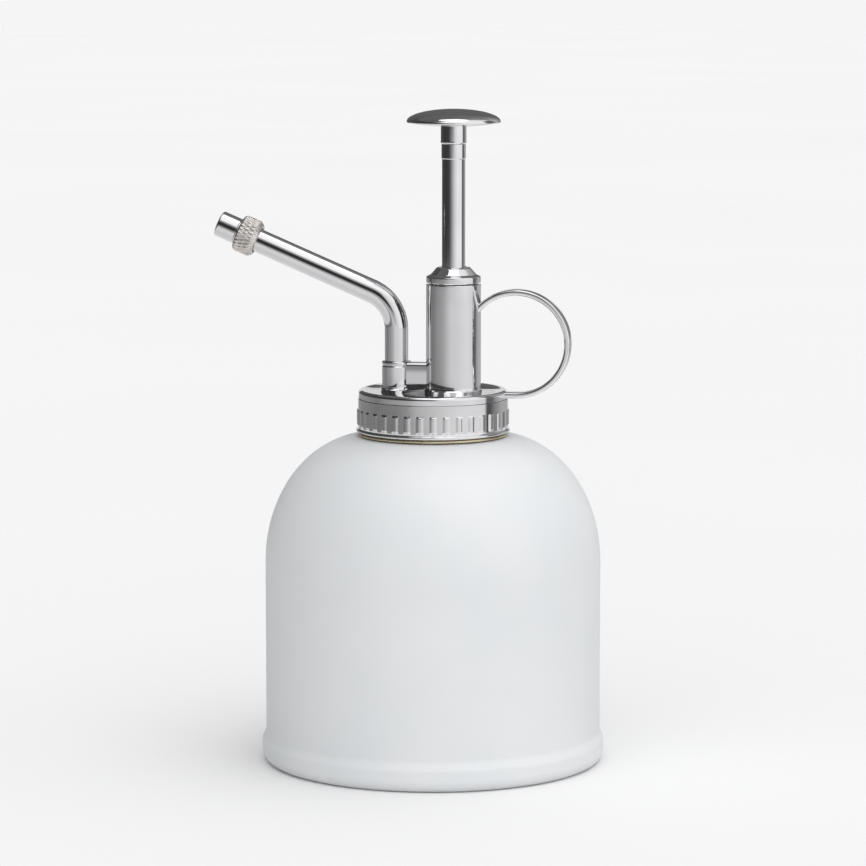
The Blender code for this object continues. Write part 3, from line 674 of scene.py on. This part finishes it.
def make_deck(mats):
    """The shallow cap. Its skirt comes down to a hairline above the collar."""
    high = span("deck_cap")[1]
    foot = span("screw_collar")[1].z + DECK_SEAM
    skirt = high.y - DECK_WALL
    plate = high.z - DECK_PLATE
    outline = [(0.0, plate), (skirt, plate, 0.2), (skirt, foot), (high.y + 0.04, foot, 0.06)]
    outline += [(high.y, high.z, 0.9), (0.0, high.z)]
    deck = turned("deck_plate", rounded(outline, False, 10), mats["chrome_pressed"], 144)
    for radius, x in ((PUMP_HOLE_R, barrel_x()), (TUBE_HOLE_R, spout_x())):
        hole = [(0.0, plate - 1), (radius, plate - 1), (radius, high.z + 1), (0.0, high.z + 1)]
        cutter = turned("cutter", hole, mats["chrome_pressed"], 64, (x, 0.0, 0.0))
        cut_away(deck, cutter)
    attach(deck, "head")
    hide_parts("deck_cap")


def barrel_x():
    low, high = span("barrel")
    return (low.x + high.x) / 2


def spout_x():
    low, high = span("spout_socket")
    return (low.x + high.x) / 2


def make_barrel(mats):
    high = span("barrel")[1]
    radius = high.y
    deck_top = span("deck_cap")[1].z
    at = (barrel_x(), 0.0, 0.0)
    outline = ring_of(radius - BARREL_WALL, radius, deck_top, high.z, 0.2)
    outline[1] = (radius + 0.35, deck_top)
    outline.insert(2, (radius + 0.06, deck_top + 0.3, 0.1))
    outline.insert(3, (radius, deck_top + 0.75, 0.4))
    barrel = turned("barrel_tube", rounded(outline, True), mats["chrome_tube"], 96, at)
    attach(barrel, "head")
    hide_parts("barrel")


def make_barrel_cap(mats):
    """A band with a fine groove under it, and a low cone that rises to the rod."""
    low, high = span("barrel_cap")
    radius = high.y
    band_top = low.z + CAP_BAND
    at = (barrel_x(), 0.0, 0.0)
    outline = [(CAP_CAVITY_R, low.z), (radius - 0.1, low.z), (radius, low.z + 0.15, 0.15)]
    outline += [(radius, band_top, 0.35), (radius - 1.1, band_top + 0.45, 1.2)]
    outline += [(4.7, high.z - 0.35, 0.9), (4.1, high.z, 0.35)]
    outline += [(CAP_BORE_R, high.z, 0.15), (CAP_BORE_R, CAP_CAVITY_TOP)]
    outline += [(CAP_CAVITY_R, CAP_CAVITY_TOP)]
    cap = turned("gland_cap", rounded(outline, True), mats["chrome"], 96, at)
    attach(cap, "head")
    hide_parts("barrel_cap")


def spout_path(start_z):
    """Straight up, round the bend and along the climb, as (point, direction) pairs."""
    turn = math.pi / 2 - SPOUT_ANGLE
    tangent = BEND_R * math.tan(turn / 2)
    x0 = spout_x()
    path = [((x0, start_z), (0.0, 1.0))]
    steps = 48
    for i in range(steps + 1):
        swung = turn * i / steps
        x = x0 - BEND_R * (1 - math.cos(swung))
        z = SPOUT_CORNER_Z - tangent + BEND_R * math.sin(swung)
        path.append(((x, z), (-math.sin(swung), math.cos(swung))))
    dx, dz = -math.cos(SPOUT_ANGLE), math.sin(SPOUT_ANGLE)
    path.append(((x0 + dx * TUBE_END, SPOUT_CORNER_Z + dz * TUBE_END), (dx, dz)))
    return path


def make_spout(mats):
    low, high = span("spout_tube")
    radius = high.y
    outlines = [circle(radius, 64), circle(TUBE_BORE_R, 64)]
    tube = swept("spout_pipe", spout_path(low.z), outlines, mats["chrome"])
    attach(tube, "head")
    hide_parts("spout_tube")

    low, high = span("spout_socket")
    outer = high.y
    deck_top = span("deck_cap")[1].z
    outline = [(radius - 0.02, deck_top), (outer + 0.25, deck_top), (outer + 0.02, deck_top + 0.3, 0.1)]
    outline += [(outer, deck_top + 0.7, 0.3), (outer, high.z - 1.5, 0.15)]
    groove = outer - FERRULE_GROOVE
    outline += [(groove, high.z - 1.25, 0.12), (groove, high.z - 1.05, 0.1)]
    outline += [(outer, high.z - 0.85, 0.12), (outer, high.z, 0.35)]
    outline += [(radius - 0.02, high.z)]
    socket = turned("spout_ferrule", rounded(outline, True), mats["chrome"], 72, (spout_x(), 0.0, 0.0))
    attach(socket, "head")
    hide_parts("spout_socket")


def make_bridge(mats):
    """The web between the ferrule and the barrel, with rounded top edges."""
    low, high = span("outlet_bridge")
    deck_top = span("deck_cap")[1].z
    half = high.y
    edge = WEB_EDGE
    outline = [(-half, deck_top)]
    outline += arc(-half + edge, high.z - edge, edge, edge, 180, 90, 8)
    outline += arc(half - edge, high.z - edge, edge, edge, 90, 0, 8)
    outline += [(half, deck_top)]
    bm = bmesh.new()
    ends = []
    for x in (low.x - WEB_OVERLAP, high.x + WEB_OVERLAP):
        ends.append([bm.verts.new((x, y, z)) for y, z in outline])
    count = len(outline)
    for i in range(count):
        j = (i + 1) % count
        bm.faces.new((ends[0][i], ends[0][j], ends[1][j], ends[1][i]))
    for end in ends:
        bm.faces.new(end)
    bridge = add_piece("bridge_web", bm, mats["chrome"])
    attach(bridge, "head")
    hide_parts("outlet_bridge")


def make_loop(mats):
    """A flat strip with rounded edges from the deck's rim, round the finger, to the barrel."""
    wide = span("finger_loop")[1].y
    rim = span("deck_cap")[1].y
    barrel_r = span("barrel")[1].y
    thick, edge = STRIP_THICK / 2, STRIP_EDGE
    outline = []
    corners = ((thick - edge, wide - edge, 0), (-thick + edge, wide - edge, 90))
    corners += ((-thick + edge, -wide + edge, 180), (thick - edge, -wide + edge, 270))
    for u, v, start in corners:
        outline += arc(u, v, edge, edge, start, start + 90, 6)
    path = [((rim - LOOP_RIM_OVERLAP, LOOP_Z - LOOP_R), (1.0, 0.0))]
    steps = 150
    for i in range(steps + 1):
        angle = math.radians(-90 + LOOP_SWEEP * i / steps)
        point = (LOOP_X + LOOP_R * math.cos(angle), LOOP_Z + LOOP_R * math.sin(angle))
        path.append((point, (-math.sin(angle), math.cos(angle))))
    loop = swept("loop_strip", path, [outline], mats["chrome"])
    reach = barrel_r - LOOP_BARREL_OVERLAP
    trim = [(0.0, LOOP_Z), (reach, LOOP_Z), (reach, LOOP_Z + LOOP_R + 1), (0.0, LOOP_Z + LOOP_R + 1)]
    cutter = turned("cutter", trim, mats["chrome"], 90, (barrel_x(), 0.0, 0.0))
    cut_away(loop, cutter)
    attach(loop, "head")
    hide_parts("finger_loop")


# ---------------------------------------------------------------- plunger


def make_rod(mats):
    low, high = span("plunger_rod")
    stop_r = high.y
    top = span("button_hub")[0].z - 0.1
    outline = [(0.0, low.z), (SPIGOT_R, low.z, 0.2), (SPIGOT_R, ROD_SHOULDER_Z)]
    outline += [(ROD_R, ROD_SHOULDER_Z, 0.2), (ROD_R, ROD_STOP_LOW, 0.08)]
    outline += [(stop_r, ROD_STOP_LOW + 0.2, 0.1), (stop_r, top, 0.15)]
    outline += [(TOP_SPIGOT_R, top), (TOP_SPIGOT_R, high.z), (0.0, high.z)]
    rod = turned("rod", rounded(outline, False), mats["chrome_tube"], 72, (barrel_x(), 0.0, 0.0))
    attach(rod, "plunger")
    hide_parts("plunger_rod")


def make_hub(mats):
    """A short sleeve with a rounded bead at its lower end."""
    low, high = span("button_hub")
    radius = high.y
    waist = radius - 0.08
    outline = [(TOP_SPIGOT_R + 0.02, low.z), (radius - 0.15, low.z, 0.1), (radius, low.z + 0.3, 0.25)]
    outline += [(radius - 0.02, low.z + 0.6, 0.2), (waist, low.z + 0.8, 0.1)]
    outline += [(waist, high.z + HUB_OVERLAP), (TOP_SPIGOT_R + 0.02, high.z + HUB_OVERLAP)]
    hub = turned("hub_sleeve", rounded(outline, True), mats["chrome"], 72, (barrel_x(), 0.0, 0.0))
    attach(hub, "plunger")
    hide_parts("button_hub")


def make_button(mats):
    """An elliptic dome with a fine rounded rim, and a slightly hollowed way in to the hub."""
    low, high = span("thumb_button")
    radius = high.y
    points = arc(0.0, BUTTON_EDGE_Z, radius - 0.05, high.z - BUTTON_EDGE_Z, 90, 8, 40)
    points += arc(radius - BUTTON_RIM_R, BUTTON_EDGE_Z, BUTTON_RIM_R, BUTTON_RIM_R, 20, -75, 8)
    under = (radius - 0.4, BUTTON_EDGE_Z - 0.32)
    foot = (radius * 0.3, low.z + 0.02)
    steps = 14
    for i in range(1, steps + 1):
        share = i / steps
        r = under[0] + (foot[0] - under[0]) * share
        points.append((r, under[1] + (foot[1] - under[1]) * (1 - (1 - share) ** 1.6)))
    inner = TOP_SPIGOT_R + 0.1
    socket = low.z + BUTTON_SOCKET
    points += [(inner, low.z + 0.02), (inner, socket), (0.0, socket)]
    button = turned("button_dome", points, mats["chrome"], 128, (barrel_x(), 0.0, 0.0), sharp=50.0)
    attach(button, "plunger")
    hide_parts("thumb_button")


# ---------------------------------------------------------------- nozzle


def nozzle_place():
    """Where the nozzle's axis starts, and how far it leans."""
    return (spout_x(), 0.0, SPOUT_CORNER_Z), SPOUT_ANGLE - math.pi / 2


def make_knurled_ring(mats):
    corner, climb = nozzle_place()
    start, end = RING_START, RING_END
    outline = [(RING_BORE_R, start, 0.1), (RING_R - 0.9, start, 0.2), (RING_R, start + 1.0, 0.2)]
    steps = 24
    for i in range(steps + 1):
        outline.append((RING_R, start + 1.15 + (end - start - 1.7) * i / steps))
    outline += [(RING_R, end - 0.45, 0.15), (RING_R - 0.45, end, 0.15), (RING_BORE_R, end, 0.1)]

    def knurled(r, z, angle):
        if r < RING_R - 0.3:
            return r
        slant = (z - start) * KNURL_SLANT
        left = abs(math.sin(KNURLS * angle / 2 + slant * KNURLS / 4))
        right = abs(math.sin(KNURLS * angle / 2 - slant * KNURLS / 4))
        return r - KNURL_DEPTH * (1 - min(left, right) ** 0.5) - 0.02

    ring = turned("knurled_ring", rounded(outline, True), mats["satin_nickel"], KNURLS * 12,
                  corner, climb, knurled, 60.0)
    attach(ring, "nozzle")
    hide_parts("nozzle_ring")


def make_spray_cap(mats):
    """The cap ahead of the ring, its sleeve inside the ring, and a dimple round the hole."""
    corner, climb = nozzle_place()
    start, end = RING_END + NOSE_GAP, NOSE_END
    outline = [(NOSE_BORE_R, NOSE_LOW), (NOSE_SLEEVE_R, NOSE_LOW), (NOSE_SLEEVE_R, start)]
    outline += [(NOSE_R - 0.15, start), (NOSE_R - 0.15, start + 0.3, 0.08), (NOSE_R, start + 0.5, 0.12)]
    outline += [(NOSE_R, end, 0.5), (1.5, end, 0.15), (0.9, end - 0.35, 0.15)]
    inside = end - NOSE_FACE
    outline += [(ORIFICE_R, end - 0.4, 0.05), (ORIFICE_R, inside), (NOSE_BORE_R, inside)]
    cap = turned("spray_cap", rounded(outline, True), mats["chrome"], 72, corner, climb)
    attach(cap, "nozzle")
    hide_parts("nozzle_cap")


# ---------------------------------------------------------------- inner pieces


def make_dip_tube(mats):
    at = (barrel_x(), 0.0, 0.0)
    low, high = span("dip_tube")
    outline = ring_of(DIP_BORE_R, high.y, low.z, high.z, 0.12)
    tube = turned("suction_tube", rounded(outline, True), mats["tube"], 64, at)
    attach(tube, "head")
    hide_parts("dip_tube")


def make_gasket(mats):
    low, high = span("neck_gasket")
    outline = ring_of(NECK_BORE_R + 0.3, high.y, low.z, high.z, 0.25)
    gasket = turned("neck_washer", rounded(outline, True), mats["rubber"], 128)
    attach(gasket, "head")
    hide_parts("neck_gasket")


def coil(name, node, wire_r, turns, finish):
    """A round-wire spring that fills the node's box, with its end turns nearly flat."""
    low, high = span(node)
    center = (low + high) / 2
    radius = (high.x - low.x) / 2 - wire_r
    z_low, z_high = low.z + wire_r, high.z - wire_r
    end_rise = END_TURN_RISE * wire_r
    bm = bmesh.new()
    rings = []
    for i in range(turns * SPRING_POINTS + 1):
        turn = i / SPRING_POINTS
        share = min(1.0, max(0.0, (turn - 1) / (turns - 2)))
        ends = min(turn, 1.0) + max(turn - turns + 1, 0.0)
        z = z_low + end_rise * ends + (z_high - z_low - 2 * end_rise) * share
        across, along = math.cos(TAU * turn), math.sin(TAU * turn)
        ring = []
        for u, v in circle(wire_r, WIRE_SIDES):
            ring.append(bm.verts.new(((radius + u) * across, (radius + u) * along, z + v)))
        rings.append(ring)
    for before, after in zip(rings, rings[1:]):
        for k in range(WIRE_SIDES):
            n = (k + 1) % WIRE_SIDES
            bm.faces.new((before[k], before[n], after[n], after[k]))
    bm.faces.new(rings[0])
    bm.faces.new(rings[-1])
    spring = add_piece(name, bm, finish, (center.x, center.y, 0.0))
    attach(spring, "head")
    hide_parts(node)
    return spring


def make_springs(mats):
    """The return spring and the outlet valve's spring, each with a mesh of its own."""
    spring = coil("return_coil", "return_spring", RETURN_WIRE_R, RETURN_TURNS, mats["steel"])
    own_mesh(spring)

    spring = coil("outlet_coil", "outlet_valve_spring", OUTLET_WIRE_R, OUTLET_TURNS, mats["steel"])
    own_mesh(spring)


def dress_frame_nodes(frame, mats):
    """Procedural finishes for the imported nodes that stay."""
    finishes = {
        "pump_body": "plastic",
        "rod_seal": "rubber",
        "piston": "plastic",
        "piston_seal": "rubber",
        "inlet_valve_cage": "plastic",
        "inlet_valve_ball": "steel",
        "outlet_valve_ball": "steel",
        "spout_seal": "rubber",
        "strainer": "plastic",
        "nozzle_stem": "brass",
        "nozzle_o_ring": "rubber",
        "swirl_plug": "plastic",
    }
    for node, finish in finishes.items():
        slots = frame["nodes"][node].material_slots
        for slot in slots:
            slot.material = mats[finish]


# ---------------------------------------------------------------- studio


def look_at(obj, place, target):
    obj.location = place
    obj.rotation_euler = (Vector(target) - Vector(place)).to_track_quat("-Z", "Y").to_euler()


def floor_finish():
    """Matt white board with very faint clouds."""
    n = Nodes("floor_white")
    n.link(n.colors(n.noise(3.0, 2.0), [(0.3, (0.778, 0.778, 0.780)), (0.7, (0.792, 0.792, 0.794))]),
           n.shader.inputs["Base Color"])
    n.set(Roughness=0.9)
    n.shader.inputs["Specular IOR Level"].default_value = 0.0
    return n.material


def make_floor():
    bm = bmesh.new()
    bmesh.ops.create_circle(bm, cap_ends=True, segments=128, radius=FLOOR_R)
    mesh = bpy.data.meshes.new("floor")
    bm.to_mesh(mesh)
    bm.free()
    mesh.materials.append(floor_finish())
    floor = bpy.data.objects.new("floor", mesh)
    bpy.context.scene.collection.objects.link(floor)


def math_node(tree, operation, first, second):
    """A math node's result. A float fills its socket, and an output is linked to it."""
    node = tree.nodes.new("ShaderNodeMath")
    node.operation = operation
    for socket, value in zip(node.inputs, (first, second)):
        if isinstance(value, float):
            socket.default_value = value
        else:
            tree.links.new(value, socket)
    return node.outputs[0]


def grey_ramp(tree, value, stops):
    """A ramp of greys over (place, grey) stops with places from 0 to 1."""
    ramp = tree.nodes.new("ShaderNodeValToRGB")
    elements = ramp.color_ramp.elements
    for place, grey in stops[1:-1]:
        elements.new(place).color = (grey, grey, grey, 1.0)
    elements[0].color = (stops[0][1], stops[0][1], stops[0][1], 1.0)
    elements[len(stops) - 1].color = (stops[-1][1], stops[-1][1], stops[-1][1], 1.0)
    tree.links.new(value, ramp.inputs["Fac"])
    return ramp.outputs["Color"]


def step_between(tree, value, low, high):
    """0 below low, 1 above high, and a smooth rise between them."""
    ranged = tree.nodes.new("ShaderNodeMapRange")
    ranged.interpolation_type = "SMOOTHSTEP"
    ranged.inputs["From Min"].default_value = low
    ranged.inputs["From Max"].default_value = high
    tree.links.new(value, ranged.inputs["Value"])
    return ranged.outputs["Result"]


def inverse(tree, value):
    return math_node(tree, "SUBTRACT", 1.0, value)


def mixed(tree, share, first, second):
    """A mix of two colours: the first where share is 0, and the second where it is 1."""
    mix = tree.nodes.new("ShaderNodeMix")
    mix.data_type = "RGBA"
    tree.links.new(share, mix.inputs[0])
    for socket, value in ((mix.inputs[6], first), (mix.inputs[7], second)):
        if isinstance(value, tuple):
            socket.default_value = value
        else:
            tree.links.new(value, socket)
    return mix.outputs[2]


def make_world():
    """A soft sky: brightest overhead, dim on the spout's side, bright in front of the loop, and
    a little brighter in front and behind than at the sides."""
    world = bpy.data.worlds.new("studio")
    bpy.context.scene.world = world
    world.use_nodes = True
    tree = world.node_tree
    direction = tree.nodes.new("ShaderNodeTexCoord").outputs["Generated"]
    parts = tree.nodes.new("ShaderNodeSeparateXYZ")
    tree.links.new(direction, parts.inputs[0])
    height = math_node(tree, "MAXIMUM", parts.outputs["Z"], 0.0)
    rise = math_node(tree, "MULTIPLY_ADD", height, SKY_TOP - SKY_EDGE)
    rise.node.inputs[2].default_value = SKY_EDGE
    toward = math.radians(VIEW_AZIMUTH + SKY_BRIGHT_SIDE)
    along_x = math_node(tree, "MULTIPLY", parts.outputs["X"], math.sin(toward) * SKY_SWING)
    along_y = math_node(tree, "MULTIPLY", parts.outputs["Y"], -math.cos(toward) * SKY_SWING)
    swing = math_node(tree, "ADD", along_x, along_y)
    front = math.radians(VIEW_AZIMUTH * 2)
    spread_x = math_node(tree, "MULTIPLY", parts.outputs["X"], parts.outputs["X"])
    spread_y = math_node(tree, "MULTIPLY", parts.outputs["Y"], parts.outputs["Y"])
    crossed = math_node(tree, "MULTIPLY", parts.outputs["X"], parts.outputs["Y"])
    straight = math_node(tree, "SUBTRACT", spread_y, spread_x)
    straight = math_node(tree, "MULTIPLY", straight, math.cos(front) * SKY_FRONT_BACK)
    slanted = math_node(tree, "MULTIPLY", crossed, -2.0 * math.sin(front) * SKY_FRONT_BACK)
    swing = math_node(tree, "ADD", swing, math_node(tree, "ADD", straight, slanted))
    swing = math_node(tree, "MAXIMUM", math_node(tree, "ADD", swing, 1.0), SKY_LEAST)
    background = tree.nodes["Background"]
    background.inputs["Color"].default_value = (1.0, 1.0, 1.003, 1.0)
    tree.links.new(math_node(tree, "MULTIPLY", rise, swing), background.inputs["Strength"])


def glowing(name):
    """A material that only gives off light, and its node tree."""
    made = bpy.data.materials.new(name)
    made.use_nodes = True
    tree = made.node_tree
    tree.nodes.clear()
    emission = tree.nodes.new("ShaderNodeEmission")
    output = tree.nodes.new("ShaderNodeOutputMaterial")
    tree.links.new(emission.outputs[0], output.inputs["Surface"])
    return made, tree


def angle_and_height(tree):
    """A place's angle to the right of the front, in radians, and its height. The camera stands
    in front."""
    coords = tree.nodes.new("ShaderNodeTexCoord").outputs["Object"]
    parts = tree.nodes.new("ShaderNodeSeparateXYZ")
    tree.links.new(coords, parts.inputs[0])
    back = math_node(tree, "MULTIPLY", parts.outputs["Y"], -1.0)
    return math_node(tree, "ARCTAN2", parts.outputs["X"], back), parts.outputs["Z"]


def grey_by_azimuth(tree, angle, row):
    """Greys round a ring, from a row of (degrees, grey)."""
    turn = math_node(tree, "MULTIPLY_ADD", angle, 1.0 / TAU)
    turn.node.inputs[2].default_value = 0.5
    return grey_ramp(tree, turn, [((azimuth + 180.0) / 360.0, grey) for azimuth, grey in row])


def surround_finish():
    """What the chrome mirrors: greys by direction, in four rows one above the other, with a
    dark band in front on the spout's side and a pale window at the back for the deck."""
    made, tree = glowing("surround")
    angle, height = angle_and_height(tree)
    shade = grey_by_azimuth(tree, angle, SURROUND_COLLAR)
    upper_rows = (SURROUND_LOW, SURROUND_HIGH, SURROUND_UPPER)
    for (low, high), row in zip(ROW_STEPS, upper_rows):
        greys = grey_by_azimuth(tree, angle, row)
        shade = mixed(tree, step_between(tree, height, low, high), shade, greys)

    above = step_between(tree, height, *BAND_LOW)
    below = inverse(tree, step_between(tree, height, *BAND_HIGH))
    right_of = step_between(tree, angle, *(math.radians(edge) for edge in BAND_LEFT))
    left_of = inverse(tree, step_between(tree, angle, *(math.radians(edge) for edge in BAND_RIGHT)))
    tall = math_node(tree, "MULTIPLY", above, below)
    wide = math_node(tree, "MULTIPLY", right_of, left_of)
    dark = (BAND_GREY, BAND_GREY, BAND_GREY, 1.0)
    shade = mixed(tree, math_node(tree, "MULTIPLY", tall, wide), shade, dark)

    side, top, grey = BACK_WINDOW
    away = math_node(tree, "ABSOLUTE", angle, 0.0)
    behind = step_between(tree, away, math.radians(side), math.radians(side + 4))
    under = inverse(tree, step_between(tree, height, top - 0.01, top))
    shade = mixed(tree, math_node(tree, "MULTIPLY", behind, under), shade, (grey, grey, grey, 1.0))
    tree.links.new(shade, tree.nodes["Emission"].inputs["Color"])
    return made


def floor_card_finish():
    """What the chrome mirrors when it faces down: greys by direction."""
    made, tree = glowing("floor_card")
    angle = angle_and_height(tree)[0]
    shade = grey_by_azimuth(tree, angle, FLOOR_CARD)
    tree.links.new(shade, tree.nodes["Emission"].inputs["Color"])
    return made


def stage_ring(name, inner, outer, finish):
    """A ring of scenery between two (radius, height) circles. It lights nothing matt and casts
    no shadow."""
    bm = bmesh.new()
    first = [bm.verts.new((x, y, inner[1])) for x, y in circle(inner[0], STAGE_SEGMENTS)]
    second = [bm.verts.new((x, y, outer[1])) for x, y in circle(outer[0], STAGE_SEGMENTS)]
    for i in range(STAGE_SEGMENTS):
        j = (i + 1) % STAGE_SEGMENTS
        bm.faces.new((first[i], first[j], second[j], second[i]))
    mesh = bpy.data.meshes.new(name)
    bm.to_mesh(mesh)
    bm.free()
    mesh.materials.append(finish)
    ring = bpy.data.objects.new(name, mesh)
    bpy.context.scene.collection.objects.link(ring)
    ring.visible_diffuse = False
    ring.visible_shadow = False
    ring.visible_transmission = False
    return ring


def backdrop_finish():
    """Pale glow with very faint clouds."""
    made, tree = glowing("backdrop")
    clouds = tree.nodes.new("ShaderNodeTexNoise")
    clouds.inputs["Scale"].default_value = BACKDROP_CLOUD_SCALE
    tree.links.new(tree.nodes.new("ShaderNodeTexCoord").outputs["Object"], clouds.inputs["Vector"])
    stops = [(0.0, BACKDROP_GLOW - BACKDROP_CLOUD), (1.0, BACKDROP_GLOW + BACKDROP_CLOUD)]
    shade = grey_ramp(tree, clouds.outputs["Fac"], stops)
    tree.links.new(shade, tree.nodes["Emission"].inputs["Color"])
    return made


def make_rings():
    """The studio cards that only polished surfaces see, and the backdrop that only cameras see."""
    low, high = (SURROUND_R, STAGE_LOW), (SURROUND_R, SURROUND_TOP)
    surround = stage_ring("surround", low, high, surround_finish())
    card = stage_ring("floor_card", (FLOOR_CARD_R, STAGE_LOW), low, floor_card_finish())
    for ring in (surround, card):
        ring.rotation_euler = (0.0, 0.0, math.radians(VIEW_AZIMUTH))
        ring.visible_camera = False
    low, high = (BACKDROP_R, -0.01), (BACKDROP_R, BACKDROP_TOP)
    backdrop = stage_ring("backdrop", low, high, backdrop_finish())
    backdrop.visible_glossy = False


def make_studio():
    make_world()
    make_floor()
    make_rings()


def make_camera():
    """A long lens in front, a little above the mister and turned to the loop's side."""
    data = bpy.data.cameras.new("camera")
    camera = bpy.data.objects.new("camera", data)
    bpy.context.scene.collection.objects.link(camera)
    angle = math.radians(VIEW_AZIMUTH)
    place = Vector((CAMERA_REACH * math.sin(angle), -CAMERA_REACH * math.cos(angle), CAMERA_Z))
    target = Vector((0.0, 0.0, TARGET_Z))
    look_at(camera, place, target)
    data.lens = data.sensor_width * (target - place).length / FRAME_WIDTH
    data.clip_end = CAMERA_CLIP
    bpy.context.scene.camera = camera
    bpy.context.scene.view_settings.view_transform = "Standard"


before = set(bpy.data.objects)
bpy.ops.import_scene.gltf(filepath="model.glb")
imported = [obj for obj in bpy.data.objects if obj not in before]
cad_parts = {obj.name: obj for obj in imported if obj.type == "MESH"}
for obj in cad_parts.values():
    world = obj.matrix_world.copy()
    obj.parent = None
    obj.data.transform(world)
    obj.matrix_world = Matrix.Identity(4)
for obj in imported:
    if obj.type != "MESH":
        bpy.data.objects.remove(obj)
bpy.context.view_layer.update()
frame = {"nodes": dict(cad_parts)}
materials = make_materials()
make_bottle(materials)
make_collar(materials)
make_liner(materials)
make_deck(materials)
make_barrel(materials)
make_barrel_cap(materials)
make_spout(materials)
make_bridge(materials)
make_loop(materials)
make_rod(materials)
make_hub(materials)
make_button(materials)
make_knurled_ring(materials)
make_spray_cap(materials)
make_dip_tube(materials)
make_gasket(materials)
make_springs(materials)
dress_frame_nodes(frame, materials)
make_studio()
make_camera()
